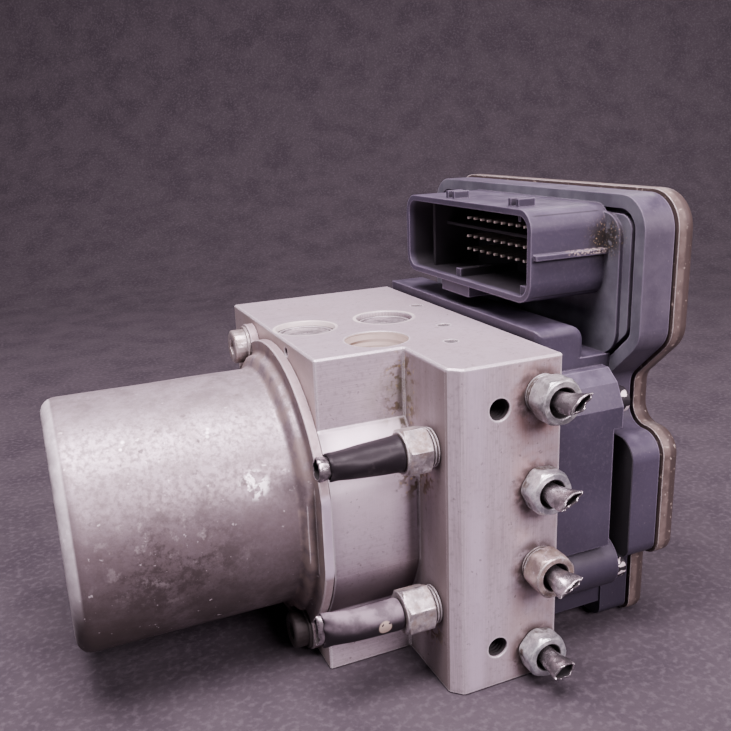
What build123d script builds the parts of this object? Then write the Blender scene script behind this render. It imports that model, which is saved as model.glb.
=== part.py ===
from build123d import *
import os
from math import cos, radians, sin

os.makedirs("parts", exist_ok=True)

# Brake pressure modulator: an aluminium valve block that stands on its own base, with a pump motor
# on one side, an electronic controller on the other, and six pipe nuts that still hold cut pipe ends.
# All lengths are millimetres. X runs along the motor shaft towards the controller, Y runs from the
# port face to the back, Z is up. The origin is the centre of the block's underside.

# Fits and clearances
seat_gap = 0.02
running_gap = 0.05
slide_gap = 0.04

# Valve block
block_height = 105.0
block_depth = 65.5
block_width = 120.5
shoulder_depth = 29.0
shoulder_inset = 30.0
corner_chamfer = 3.5
edge_break = 0.5
bulge_radius = 50.0
bulge_reach = 48.0

motor_face_x = -block_depth / 2
controller_face_x = block_depth / 2
step_face_x = motor_face_x + shoulder_depth
port_face_y = -block_width / 2
back_y = block_width / 2
side_face_y = port_face_y + shoulder_inset

# Motor axis and the pump that it drives
motor_y = 9.0
motor_z = block_height / 2 - 0.5
pump_x = -21.4
shaft_radius = 4.0
cam_throw = 1.0
cam_radius = 6.3
cam_width = 8.0
needle_radius = 0.75
needle_count = 14
cam_ring_wall = 1.5
chamber_radius = 12.0
chamber_depth = 16.8
front_bearing_width = 6.0
end_bearing_radius = 7.0
end_bearing_width = 6.2

# Motor can
flange_radius = 49.5
flange_thickness = 3.0
can_radius = flange_radius - 9.0
can_length = 75.0
can_wall = 2.0
can_edge = 5.0
skirt_radius = flange_radius - 4.9
skirt_start = 6.2
skirt_slope = 1.2
skirt_flat = skirt_radius - 1.7
motor_screw_circle = flange_radius + 0.5
motor_screw_angle = 60.0
motor_ear_radius = 7.5
motor_screw_radius = 3.0
motor_screw_head_radius = 6.0
motor_screw_head = 4.5
motor_washer_radius = 6.9
motor_washer_thickness = 1.0
motor_washer_room = 0.3
motor_screw_reach = 14.0
motor_socket_radius = 3.0
motor_socket_depth = 2.5

# Motor insides
magnet_thickness = 6.0
magnet_gap = 10.0
magnet_length = can_length - 37.0
magnet_offset = 26.0
air_gap = 0.7
slot_count = 12
slot_width = 5.5
slot_floor_radius = 16.0
slot_rim = 3.3
slot_mouth = 2.0
core_length = magnet_length - 4.0
winding_inner_radius = 14.0
winding_overhang = 7.0
commutator_radius = 11.0
commutator_length = 10.0
commutator_offset = 8.0
commutator_slot = 0.6
commutator_slot_depth = 1.2
brush_width = 5.0
brush_thickness = 6.0
brush_length = 12.0
brush_reach = 2.0
brush_spring_length = 6.5
brush_spring_radius = 1.9
brush_spring_wire = 0.4
brush_holder_wall = 1.5
brush_plate_thickness = 3.0
brush_plate_bore = 13.0
rear_bearing_radius = 8.0
rear_bearing_width = 7.0
shaft_end_gap = 1.0
bearing_seal_inset = 1.6
bearing_seal_depth = 0.4

# Turns of every compression spring
spring_turns = 5

# Pump elements, one above and one below the shaft
piston_radius = 4.0
piston_length = 15.0
piston_bore_radius = 1.5
piston_bore_depth = 4.0
pump_spring_radius = 3.2
pump_spring_wire = 0.7
sleeve_radius = 7.0
sleeve_floor = 2.0
sleeve_outlet_radius = 1.2
closure_radius = 10.1
closure_depth = 14.0
closure_recess = 1.6
ring_groove_inset = 1.1
ring_groove_width = 1.2
ring_groove_depth = 0.9

# Damper chambers in the top face
damper_x = 7.8
damper_y = 9.1
damper_radius = 9.9
damper_depth = 17.0
damper_ledge = 1.0
damper_recess = 1.6
damper_plug_thickness = 5.0
front_damper_x = -6.8
front_damper_y = -17.2
front_damper_radius = 10.25
front_damper_depth = 22.0
front_damper_recess = 5.5
front_damper_ledge = 1.5
damper_cup_rim = 2.4
damper_cup_depth = 2.5

# Small closing plugs in the top face, and a blind drilling in the motor face
plug_places = ((26.0, 20.0), (20.0, -12.0), (11.9, -31.7))
plug_radius = 2.2
plug_depth = 4.0
plug_recess = 0.5
drilling_y = -4.1
drilling_z = 101.3
drilling_radius = 1.7
drilling_depth = 10.0

# Low pressure accumulators in the underside
accumulator_x = 0.0
accumulator_places_y = (-15.0, 33.0)
accumulator_radius = 10.0
accumulator_depth = 27.0
accumulator_recess = 1.0
accumulator_cap_thickness = 3.0
accumulator_piston_length = 9.0
accumulator_piston_hollow = 6.0
accumulator_piston_wall = 2.0
accumulator_spring_radius = 6.5
accumulator_spring_wire = 1.2
accumulator_dish = 3.0
accumulator_dish_depth = 1.0
accumulator_end_gap = 0.1

# Solenoid valves, four columns by three rows
valve_column_first = -31.0
valve_column_pitch = 22.0
valve_columns = 4
valve_row_first = 24.0
valve_row_pitch = 28.0
valve_rows = 3
valve_radius = 6.0
valve_depth = 20.0
valve_nose_length = 7.0
valve_nose_inset = 2.2
valve_collar = 0.8
valve_seat_depth = 1.0
dome_radius = 4.0
dome_length = 22.0
dome_wall = 0.6
dome_end_wall = 1.2
dome_round = 1.0
plunger_length = 12.0
rod_radius = 1.1
plunger_travel = 0.4
coil_radius = 9.5
coil_length = 20.0
coil_stand_off = 3.0
coil_pin_spread = 1.5
coil_pin_size = 0.8
coil_pin_height = 6.5

# Pressure sensor and motor contact that pass through the block
sensor_y = -50.0
sensor_z = motor_z
sensor_radius = 4.5
sensor_depth = 12.0
sensor_length = 18.0
sensor_shoulder = 0.5
contact_y = motor_y + 15.0
contact_z = motor_z - 14.0
contact_radius = 4.0
contact_shoulder = 0.3

# Mounting holes in the port face
mount_x = 11.6
mount_spacing = 77.7
mount_radius = 3.4
mount_depth = 18.0

# Pipe ports: four on the port face, two on the step face
port_x = 25.7
port_mid_z = motor_z
port_outer_spread = block_height / 2 - 10.5
port_inner_spread = 12.9
inlet_y = -47.9
inlet_heights = (78.8, 26.6)
port_radius = 5.4
port_depth = 13.5
passage_radius = 2.0
passage_depth = 5.0
nut_flats = 13.0
nut_length = 7.0
nut_end_step = 0.5
nut_end_radius = 6.35
nut_thread_radius = 5.9
nut_bore = 4.3
pipe_radius = 3.0
pipe_wall = 0.8
flare_radius = 4.1
flare_length = 2.5

# How the cut pipes end: nut threads left visible, and each pinch as shift across, shift up, half width,
# half height, turn in degrees and reach past the nut
nut_threads = (3.3, 0.0, 2.4, 0.2)
pinches = (
    (1.0, 2.0, 4.5, 1.5, 40.0, 8.0),
    (0.6, 1.2, 4.4, 1.6, 35.0, 8.0),
    (0.5, 0.4, 4.6, 1.1, 30.0, 7.0),
    (0.3, 0.3, 4.0, 2.4, 20.0, 8.0),
)
pinch_start = 1.0
inlet_thread = 2.5
inlet_nut_lengths = (8.1, 9.4)
pipe_runs = (20.55, 15.35)
pipe_tip_reaches = (5.1, 6.0)
pipe_tip_shifts = (0.0, -1.0)
pipe_tip_widths = (2.0, 1.6)
pipe_tip_heights = (3.6, 3.9)
sleeve_mouths = (5.6, 5.0)
first_sleeve_taper = 8.0
first_sleeve_radius = 3.9
first_sleeve_end = 3.8
second_sleeve_bend = 4.6
second_sleeve_reach = 12.0
second_sleeve_shift = 1.4
second_sleeve_width = 2.2
second_sleeve_height = 6.6

# Controller housing
seal_thickness = 0.8
plate_front_x = 61.3
plate_rear_x = 73.1
plate_wall = 2.5
plate_floor = 3.0
board_ledge = 1.3
board_stand_off = 1.0
board_thickness = 1.6
board_gap = 0.2
parting_step = 0.9
parting_width = 0.8
groove_inset = 4.2
groove_width = 1.6
groove_depth = 2.5
groove_low_z = 92.0
cover_rear_x = 80.0
cover_lip = 1.0
cover_wall = 1.6
cover_edge = 3.0
housing_wall = 2.5
chamber_bottom_z = 8.0
chamber_top_z = 97.5
chamber_front_y = -46.0
chamber_back_y = 49.0
chamber_end_x = 58.8
box_front_y = -57.0
box_bottom_z = 36.5
box_top_z = block_height - 28.7
box_end_x = 55.2
hump_top_z = 107.8
hump_back_y = 57.0
hump_end_x = 51.5
hump_round = 5.0
upper_boss_end_x = 58.5
upper_boss_corners = ((0.0, 7.0), (3.5, 14.0), (8.0, 17.7))
lower_boss_end_x = 60.0
lower_boss_radius = 9.3
lower_boss_y = -47.6
lower_boss_z = 26.5
platform_front_x = 59.9
platform_low = (-49.8, 97.0)
platform_high = (61.0, 141.7)
platform_corner = 8.0
shroud_front_x = 32.75
shroud_low_y = -43.1
shroud_high_y = 40.3
shroud_low_z = 115.5
shroud_high_z = 144.0
shroud_wall = 2.0
shroud_corner = 6.5
pin_tip_x = 43.0
pin_columns = 12
pin_pitch = 4.45
pin_first_y = 11.5
pin_rows = (136.6, 130.2, 125.6)
pin_size = 0.8
blade_width = 4.8
blade_places = ((34.4, 136.0), (34.4, 124.5))
socket_depth = 25.0
divider_y = 28.5
divider_thickness = 1.5
divider_recess = 6.0
pin_rib_z = 132.9
pin_rib_thickness = 1.0
pin_rib_end = 2.0
key_places_y = (1.5, -38.5)
key_size = 3.0
key_recess = 1.5
nub_y = -35.2
nub_width = 1.2
nub_height = 2.0
side_rib_z = 129.2
side_rib_height = 1.6
side_rib_reach = 1.8
side_rib_recess = 0.8
lug_places_y = (10.4, -29.6)
lug_prongs = (-2.9, 1.5)
lug_thickness = 1.4
lug_height = 2.6
lug_length = 6.0
lug_recess = 2.5
foot_low = (-5.0, 111.5)
foot_high_y = 14.0
foot_recess = 1.0
window_low = (-36.0, 28.0)
window_high = (40.0, 90.0)
upper_screw_z = block_height - 21.5
controller_screws = ((-51.0, upper_screw_z), (-51.6, 24.8), (54.0, 86.0), (54.0, 24.4))
controller_screw_radius = 2.0
controller_screw_depth = 12.0
controller_screw_hole = 2.6
controller_screw_head_radius = 4.2
controller_screw_head = 4.0
controller_drive_radius = 2.3
controller_drive_depth = 2.5
controller_foot_radius = 4.0
well_radius = 5.2
well_wall = 1.6

# The larger components on the circuit board: lower corner, upper corner and height
board_chips = (
    ((-20.0, 50.0), (0.0, 70.0), 1.8),
    ((12.0, 44.0), (26.0, 58.0), 1.8),
    ((-38.0, 100.0), (-26.0, 112.0), 3.0),
    ((30.0, 100.0), (48.0, 112.0), 5.0),
)

# The outline of the controller's plate, seen along the shaft: corner place and its rounding
plate_outline = (
    (-59.0, 147.2, 11.0),
    (-59.0, upper_screw_z + 19.5, 9.0),
    (-43.5, upper_screw_z + 4.5, 7.0),
    (-43.5, upper_screw_z - 12.0, 7.0),
    (-59.0, upper_screw_z - 12.0, 7.5),
    (-59.0, 29.5, 5.0),
    (-46.8, 29.5, 2.0),
    (-46.8, 1.6, 4.0),
    (70.0, 1.6, 11.0),
    (70.0, 147.2, 11.0),
)

motor_axis = Axis((0, motor_y, motor_z), (1, 0, 0))
motor_plane = Plane(origin=(0, motor_y, motor_z), x_dir=(1, 0, 0), z_dir=(0, -1, 0))


def round_x(x_from, x_to, places, radius, mode=Mode.ADD):
    """Round bars or holes that run along X at the given (y, z) places."""
    with BuildSketch(Plane.YZ.offset(x_from)) as profile:
        with Locations(*places):
            Circle(radius)
    extrude(profile.sketch, amount=x_to - x_from, mode=mode)


def round_y(y_from, y_to, places, radius, mode=Mode.ADD):
    """Round bars or holes that run along Y at the given (x, z) places."""
    with BuildSketch(Plane.XZ.offset(-y_from)) as profile:
        with Locations(*places):
            Circle(radius)
    extrude(profile.sketch, amount=y_from - y_to, mode=mode)


def round_z(z_from, z_to, places, radius, mode=Mode.ADD):
    """Round bars or holes that run along Z at the given (x, y) places."""
    with BuildSketch(Plane.XY.offset(z_from)) as profile:
        with Locations(*places):
            Circle(radius)
    extrude(profile.sketch, amount=z_to - z_from, mode=mode)


def slab_x(x_from, x_to, low, high, mode=Mode.ADD):
    """A rectangular block between two (y, z) corners."""
    with BuildSketch(Plane.YZ.offset(x_from)) as profile:
        with Locations(((low[0] + high[0]) / 2, (low[1] + high[1]) / 2)):
            Rectangle(high[0] - low[0], high[1] - low[1])
    extrude(profile.sketch, amount=x_to - x_from, mode=mode)


def finish(piece, label):
    """Names a finished piece and writes it out."""
    piece.part.label = label
    export_step(piece.part, f"parts/{label}.step")


pump_place = (pump_x, motor_y)
motor_place = (motor_y, motor_z)
damper_place = (damper_x, damper_y)
front_damper_place = (front_damper_x, front_damper_y)
accumulator_places = [(accumulator_x, y) for y in accumulator_places_y]
port_places = [
    (port_x, port_mid_z + port_outer_spread),
    (port_x, port_mid_z + port_inner_spread),
    (port_x, port_mid_z - port_inner_spread),
    (port_x, port_mid_z - port_outer_spread),
]
inlet_places = [(inlet_y, z) for z in inlet_heights]
mount_places = [
    (mount_x, block_height / 2 + mount_spacing / 2),
    (mount_x, block_height / 2 - mount_spacing / 2),
]
valve_places = [
    (valve_column_first + valve_column_pitch * column, valve_row_first + valve_row_pitch * row)
    for column in range(valve_columns)
    for row in range(valve_rows)
]
screw_ears = [
    (
        motor_y + side * motor_screw_circle * cos(radians(motor_screw_angle)),
        motor_z + side * motor_screw_circle * sin(radians(motor_screw_angle)),
    )
    for side in (1, -1)
]
ring_inner = cam_radius + 2 * needle_radius + 2 * running_gap
ring_outer = ring_inner + cam_ring_wall
sweep_radius = ring_outer + cam_throw + running_gap
cam_chamber_end_x = motor_face_x + chamber_depth
end_bearing_x = cam_chamber_end_x + end_bearing_width
housing_x = controller_face_x + seal_thickness
floor_x = plate_front_x + plate_floor
board_x = floor_x + board_stand_off

# Valve block
with BuildPart() as hydraulic_block:
    with BuildSketch():
        with BuildLine():
            Polyline(
                (motor_face_x, side_face_y),
                (step_face_x, side_face_y),
                (step_face_x, port_face_y + corner_chamfer),
                (step_face_x + corner_chamfer, port_face_y),
                (controller_face_x, port_face_y),
                (controller_face_x, back_y),
                (motor_face_x, back_y),
                close=True,
            )
        make_face()
    extrude(amount=block_height)
    chamfer(hydraulic_block.edges(), edge_break)
    with BuildSketch(Plane.YZ.offset(motor_face_x)):
        with Locations(motor_place):
            Circle(bulge_radius)
        with Locations((motor_y - bulge_reach + bulge_radius, motor_z)):
            Rectangle(2 * bulge_radius, 2 * bulge_radius, mode=Mode.INTERSECT)
        with Locations((side_face_y + bulge_radius, motor_z)):
            Rectangle(2 * bulge_radius, 2 * bulge_radius, mode=Mode.SUBTRACT)
    extrude(amount=shoulder_depth)
    round_x(motor_face_x, cam_chamber_end_x, [motor_place], chamber_radius, Mode.SUBTRACT)
    round_x(cam_chamber_end_x, end_bearing_x, [motor_place], end_bearing_radius, Mode.SUBTRACT)
    round_z(0, block_height, [pump_place], sleeve_radius, Mode.SUBTRACT)
    round_z(0, closure_depth, [pump_place], closure_radius, Mode.SUBTRACT)
    round_z(block_height, block_height - closure_depth, [pump_place], closure_radius, Mode.SUBTRACT)
    round_z(
        block_height,
        block_height - damper_depth,
        [damper_place],
        damper_radius - damper_ledge,
        Mode.SUBTRACT,
    )
    damper_seat = block_height - damper_recess - damper_plug_thickness
    round_z(block_height, damper_seat, [damper_place], damper_radius, Mode.SUBTRACT)
    front_damper_seat = block_height - front_damper_recess - damper_plug_thickness
    round_z(block_height, front_damper_seat, [front_damper_place], front_damper_radius, Mode.SUBTRACT)
    round_z(
        front_damper_seat,
        block_height - front_damper_depth,
        [front_damper_place],
        front_damper_radius - front_damper_ledge,
        Mode.SUBTRACT,
    )
    round_z(block_height, block_height - plug_depth, plug_places, plug_radius, Mode.SUBTRACT)
    round_x(
        motor_face_x,
        motor_face_x + drilling_depth,
        [(drilling_y, drilling_z)],
        drilling_radius,
        Mode.SUBTRACT,
    )
    round_z(0, accumulator_depth, accumulator_places, accumulator_radius, Mode.SUBTRACT)
    round_x(controller_face_x, controller_face_x - valve_depth, valve_places, valve_radius, Mode.SUBTRACT)
    round_x(
        controller_face_x,
        controller_face_x - sensor_depth,
        [(sensor_y, sensor_z)],
        sensor_radius,
        Mode.SUBTRACT,
    )
    round_x(
        motor_face_x,
        controller_face_x,
        [(contact_y, contact_z)],
        contact_radius + seat_gap,
        Mode.SUBTRACT,
    )
    round_x(motor_face_x, motor_face_x + motor_screw_reach, screw_ears, motor_screw_radius, Mode.SUBTRACT)
    round_x(
        controller_face_x,
        controller_face_x - controller_screw_depth,
        controller_screws,
        controller_screw_radius,
        Mode.SUBTRACT,
    )
    round_y(port_face_y, port_face_y + mount_depth, mount_places, mount_radius, Mode.SUBTRACT)
    round_y(port_face_y, port_face_y + port_depth, port_places, port_radius, Mode.SUBTRACT)
    round_y(
        port_face_y + port_depth,
        port_face_y + port_depth + passage_depth,
        port_places,
        passage_radius,
        Mode.SUBTRACT,
    )
    round_x(step_face_x, step_face_x + port_depth, inlet_places, port_radius, Mode.SUBTRACT)
    round_x(
        step_face_x + port_depth,
        step_face_x + port_depth + passage_depth,
        inlet_places,
        passage_radius,
        Mode.SUBTRACT,
    )
finish(hydraulic_block, "hydraulic_block")

# Motor can, drawn in one piece with its skirt and its bolting flange
can_end_x = motor_face_x - can_length
with BuildPart() as motor_can:
    with BuildSketch(motor_plane):
        with BuildLine():
            Polyline(
                (motor_face_x, can_radius - can_wall),
                (motor_face_x, flange_radius),
                (motor_face_x - flange_thickness, flange_radius),
                (motor_face_x - flange_thickness, skirt_radius),
                (motor_face_x - skirt_start + skirt_slope, skirt_radius),
                (motor_face_x - skirt_start - skirt_slope, can_radius),
                (can_end_x + can_edge, can_radius),
            )
            RadiusArc((can_end_x + can_edge, can_radius), (can_end_x, can_radius - can_edge), -can_edge)
            Polyline(
                (can_end_x, can_radius - can_edge),
                (can_end_x, 0),
                (can_end_x + can_wall, 0),
                (can_end_x + can_wall, rear_bearing_radius),
                (can_end_x + can_wall + rear_bearing_width, rear_bearing_radius),
                (can_end_x + can_wall + rear_bearing_width, rear_bearing_radius + can_wall),
                (can_end_x + can_wall, rear_bearing_radius + can_wall),
                (can_end_x + can_wall, can_radius - can_edge),
            )
            RadiusArc(
                (can_end_x + can_wall, can_radius - can_edge),
                (can_end_x + can_edge, can_radius - can_wall),
                can_edge - can_wall,
            )
            Line((can_end_x + can_edge, can_radius - can_wall), (motor_face_x, can_radius - can_wall))
        make_face()
    revolve(axis=motor_axis)
    round_x(motor_face_x, motor_face_x - flange_thickness, screw_ears, motor_ear_radius)
    round_x(
        motor_face_x - flange_thickness,
        motor_face_x - skirt_start - 2 * skirt_slope,
        screw_ears,
        motor_washer_radius + motor_washer_room,
        Mode.SUBTRACT,
    )
    slab_x(
        motor_face_x - flange_thickness - seat_gap,
        motor_face_x,
        (motor_y - bulge_reach - flange_radius, motor_z - flange_radius),
        (motor_y - bulge_reach, motor_z + flange_radius),
        Mode.SUBTRACT,
    )
    slab_x(
        motor_face_x - skirt_start,
        motor_face_x - flange_thickness,
        (motor_y - flange_radius, motor_z - flange_radius),
        (motor_y - skirt_flat, motor_z + flange_radius),
        Mode.SUBTRACT,
    )
    round_x(
        motor_face_x,
        motor_face_x - flange_thickness,
        screw_ears,
        motor_screw_radius + motor_washer_room,
        Mode.SUBTRACT,
    )
finish(motor_can, "motor_can")

# Four magnets, glued inside the can
magnet_outer = can_radius - can_wall
magnet_inner = magnet_outer - magnet_thickness
magnet_start_x = motor_face_x - magnet_offset - magnet_length
with BuildPart() as motor_magnets:
    with BuildSketch(Plane.YZ.offset(magnet_start_x)):
        with Locations(motor_place):
            Circle(magnet_outer)
            Circle(magnet_inner, mode=Mode.SUBTRACT)
            Rectangle(3 * magnet_outer, magnet_gap, mode=Mode.SUBTRACT)
            Rectangle(magnet_gap, 3 * magnet_outer, mode=Mode.SUBTRACT)
    extrude(amount=magnet_length)
finish(motor_magnets, "motor_magnets")

# Two motor screws with washers
flange_face_x = motor_face_x - flange_thickness
washer_face_x = flange_face_x - motor_washer_thickness
screw_top_x = washer_face_x - motor_screw_head
with BuildPart() as motor_screws:
    round_x(motor_face_x + motor_screw_reach, flange_face_x, screw_ears, motor_screw_radius)
    round_x(flange_face_x, washer_face_x, screw_ears, motor_washer_radius)
    round_x(washer_face_x, screw_top_x, screw_ears, motor_screw_head_radius)
    with BuildSketch(Plane.YZ.offset(screw_top_x)) as motor_sockets:
        with Locations(*screw_ears):
            RegularPolygon(motor_socket_radius, 6)
    extrude(motor_sockets.sketch, amount=motor_socket_depth, mode=Mode.SUBTRACT)
finish(motor_screws, "motor_screws")


def bearing(name, x_from, x_to, outer):
    """A sealed ball bearing with a shallow groove between its rings on both faces."""
    seal_outer = outer - bearing_seal_inset
    seal_inner = shaft_radius + bearing_seal_inset
    with BuildPart() as ring:
        round_x(x_from, x_to, [motor_place], outer)
        for face_x, depth in ((x_from, bearing_seal_depth), (x_to, -bearing_seal_depth)):
            with BuildSketch(Plane.YZ.offset(face_x)) as seal:
                with Locations(motor_place):
                    Circle(seal_outer)
                    Circle(seal_inner, mode=Mode.SUBTRACT)
            extrude(seal.sketch, amount=depth, mode=Mode.SUBTRACT)
        round_x(x_from, x_to, [motor_place], shaft_radius + running_gap, Mode.SUBTRACT)
    finish(ring, name)


rear_bearing_x = can_end_x + can_wall
bearing("rear_bearing", rear_bearing_x, rear_bearing_x + rear_bearing_width, rear_bearing_radius)
bearing("front_bearing", motor_face_x, motor_face_x + front_bearing_width, chamber_radius)
bearing("shaft_end_bearing", cam_chamber_end_x, cam_chamber_end_x + end_bearing_width, end_bearing_radius)

# Armature: the shaft with its eccentric, the slotted core, the windings and the commutator
core_radius = magnet_inner - air_gap
slot_top_radius = core_radius - slot_rim
core_start_x = magnet_start_x + (magnet_length - core_length) / 2
core_end_x = core_start_x + core_length
commutator_x = motor_face_x - commutator_offset - commutator_length
cam_y = motor_y + cam_throw
with BuildPart() as rotor_shaft:
    round_x(rear_bearing_x + shaft_end_gap, end_bearing_x - shaft_end_gap, [motor_place], shaft_radius)
    round_x(pump_x - cam_width / 2, pump_x + cam_width / 2, [(cam_y, motor_z)], cam_radius)
finish(rotor_shaft, "rotor_shaft")

with BuildPart() as armature_core:
    with BuildSketch(Plane.YZ.offset(core_start_x)):
        with Locations(motor_place):
            Circle(core_radius)
            Circle(shaft_radius, mode=Mode.SUBTRACT)
            with PolarLocations((slot_floor_radius + slot_top_radius) / 2, slot_count):
                Rectangle(slot_top_radius - slot_floor_radius, slot_width, mode=Mode.SUBTRACT)
            with PolarLocations(core_radius, slot_count):
                Rectangle(2 * (core_radius - slot_top_radius), slot_mouth, mode=Mode.SUBTRACT)
    extrude(amount=core_length)
finish(armature_core, "armature_core")

with BuildPart() as armature_windings:
    with BuildSketch(Plane.YZ.offset(core_start_x - winding_overhang)):
        with Locations(motor_place):
            with PolarLocations((slot_floor_radius + slot_top_radius) / 2, slot_count):
                Rectangle(slot_top_radius - slot_floor_radius, slot_width)
    extrude(amount=core_length + 2 * winding_overhang)
    for end_x in (core_start_x - winding_overhang, core_end_x):
        with BuildSketch(Plane.YZ.offset(end_x)) as overhang:
            with Locations(motor_place):
                Circle(slot_top_radius)
                Circle(winding_inner_radius, mode=Mode.SUBTRACT)
        extrude(overhang.sketch, amount=winding_overhang)
finish(armature_windings, "armature_windings")

with BuildPart() as commutator:
    with BuildSketch(Plane.YZ.offset(commutator_x)):
        with Locations(motor_place):
            Circle(commutator_radius)
            Circle(shaft_radius + seat_gap, mode=Mode.SUBTRACT)
            with PolarLocations(commutator_radius, slot_count):
                Rectangle(2 * commutator_slot_depth, commutator_slot, mode=Mode.SUBTRACT)
    extrude(amount=commutator_length)
finish(commutator, "commutator")

# Brush plate with the two holders, the brushes and their springs
plate_x = flange_face_x - brush_plate_thickness
brush_mid_x = commutator_x + commutator_length / 2
brush_foot = commutator_radius + running_gap
brush_top = brush_foot + brush_length
holder_foot = brush_foot + brush_reach
holder_floor = brush_top + brush_spring_length
holder_top = holder_floor + brush_holder_wall
half_width = brush_width / 2
half_holder = half_width + brush_holder_wall
half_thick = brush_thickness / 2
holder_start_x = brush_mid_x - half_thick - brush_holder_wall
with BuildPart() as brush_plate:
    round_x(plate_x, flange_face_x, [motor_place], magnet_outer - seat_gap)
    round_x(plate_x, flange_face_x, [motor_place], brush_plate_bore, Mode.SUBTRACT)
    for side in (1, -1):
        slab_x(
            holder_start_x,
            plate_x,
            (motor_y - half_holder, motor_z + side * holder_foot),
            (motor_y + half_holder, motor_z + side * holder_top),
        )
        slab_x(
            brush_mid_x - half_thick - slide_gap,
            brush_mid_x + half_thick + slide_gap,
            (motor_y - half_width - slide_gap, motor_z + side * holder_foot),
            (motor_y + half_width + slide_gap, motor_z + side * holder_floor),
            Mode.SUBTRACT,
        )
finish(brush_plate, "brush_plate")

for side, name in ((1, "upper"), (-1, "lower")):
    with BuildPart() as brush:
        slab_x(
            brush_mid_x - half_thick,
            brush_mid_x + half_thick,
            (motor_y - half_width, motor_z + side * brush_foot),
            (motor_y + half_width, motor_z + side * brush_top),
        )
    finish(brush, f"brush_{name}")

# Pump sleeves, closures and pistons above and below the shaft
piston_inner = sweep_radius
piston_outer = piston_inner + piston_length
closure_seat_top = block_height - closure_depth - motor_z
closure_seat_bottom = motor_z - closure_depth
sleeve_foot = chamber_radius + 0.6
with BuildPart() as pump_sleeves:
    for side, seat in ((1, closure_seat_top), (-1, closure_seat_bottom)):
        low = motor_z + side * sleeve_foot
        high = motor_z + side * seat
        shoulder = motor_z + side * (seat - sleeve_floor)
        round_z(low, high, [pump_place], sleeve_radius)
        round_z(low, shoulder, [pump_place], piston_radius + slide_gap, Mode.SUBTRACT)
        round_z(shoulder, high, [pump_place], sleeve_outlet_radius, Mode.SUBTRACT)
finish(pump_sleeves, "pump_sleeves")

with BuildPart() as pump_closures:
    for side, seat, face in (
        (1, closure_seat_top, block_height - motor_z - closure_recess),
        (-1, closure_seat_bottom, motor_z - closure_recess),
    ):
        seat_z = motor_z + side * seat
        face_z = motor_z + side * face
        round_z(seat_z, face_z, [pump_place], closure_radius)
        with BuildSketch(Plane.XY.offset(face_z)) as ring_groove:
            with Locations(pump_place):
                Circle(closure_radius - ring_groove_inset)
                Circle(closure_radius - ring_groove_inset - ring_groove_width, mode=Mode.SUBTRACT)
        extrude(ring_groove.sketch, amount=-side * ring_groove_depth, mode=Mode.SUBTRACT)
finish(pump_closures, "pump_closures")

for side, name in ((1, "upper"), (-1, "lower")):
    with BuildPart() as pump_piston:
        foot_z = motor_z + side * piston_inner
        head_z = motor_z + side * piston_outer
        round_z(foot_z, head_z, [pump_place], piston_radius)
        bore_z = head_z - side * piston_bore_depth
        round_z(head_z, bore_z, [pump_place], piston_bore_radius, Mode.SUBTRACT)
    finish(pump_piston, f"pump_piston_{name}")

with BuildPart() as cam_ring:
    round_x(pump_x - cam_width / 2, pump_x + cam_width / 2, [(cam_y, motor_z)], ring_outer)
    round_x(pump_x - cam_width / 2, pump_x + cam_width / 2, [(cam_y, motor_z)], ring_inner, Mode.SUBTRACT)
finish(cam_ring, "cam_ring")

needle_circle = cam_radius + running_gap + needle_radius
with BuildPart() as cam_needles:
    with BuildSketch(Plane.YZ.offset(pump_x - cam_width / 2)):
        with Locations((cam_y, motor_z)):
            with PolarLocations(needle_circle, needle_count):
                Circle(needle_radius)
    extrude(amount=cam_width)
finish(cam_needles, "cam_needles")

# Damper plugs and the small closing discs of the top face
with BuildPart() as damper_plug:
    plug_top = block_height - damper_recess
    round_z(damper_seat, plug_top, [damper_place], damper_radius)
    with BuildSketch(Plane.XY.offset(plug_top)) as damper_groove:
        with Locations(damper_place):
            Circle(damper_radius - ring_groove_inset)
            Circle(damper_radius - ring_groove_inset - ring_groove_width, mode=Mode.SUBTRACT)
    extrude(damper_groove.sketch, amount=-ring_groove_depth, mode=Mode.SUBTRACT)
finish(damper_plug, "damper_plug")

with BuildPart() as damper_cup:
    cup_top = block_height - front_damper_recess
    round_z(front_damper_seat, cup_top, [front_damper_place], front_damper_radius)
    cup_floor = cup_top - damper_cup_depth
    round_z(cup_top, cup_floor, [front_damper_place], front_damper_radius - damper_cup_rim, Mode.SUBTRACT)
finish(damper_cup, "damper_cup")

with BuildPart() as ball_plugs:
    round_z(block_height - plug_depth, block_height - plug_recess, plug_places, plug_radius)
finish(ball_plugs, "ball_plugs")

# Accumulator caps and pistons in the underside
cap_top = accumulator_recess + accumulator_cap_thickness
piston_top = accumulator_depth - accumulator_end_gap
piston_foot = piston_top - accumulator_piston_length
spring_seat = piston_foot + accumulator_piston_hollow
with BuildPart() as accumulator_caps:
    round_z(accumulator_recess, cap_top, accumulator_places, accumulator_radius)
    round_z(
        accumulator_recess,
        accumulator_recess + accumulator_dish_depth,
        accumulator_places,
        accumulator_radius - accumulator_dish,
        Mode.SUBTRACT,
    )
finish(accumulator_caps, "accumulator_caps")

for place, name in zip(accumulator_places, ("front", "back")):
    with BuildPart() as accumulator_piston:
        round_z(piston_foot, piston_top, [place], accumulator_radius - slide_gap)
        hollow_radius = accumulator_radius - accumulator_piston_wall
        round_z(piston_foot, spring_seat, [place], hollow_radius, Mode.SUBTRACT)
    finish(accumulator_piston, f"accumulator_piston_{name}")


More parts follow.
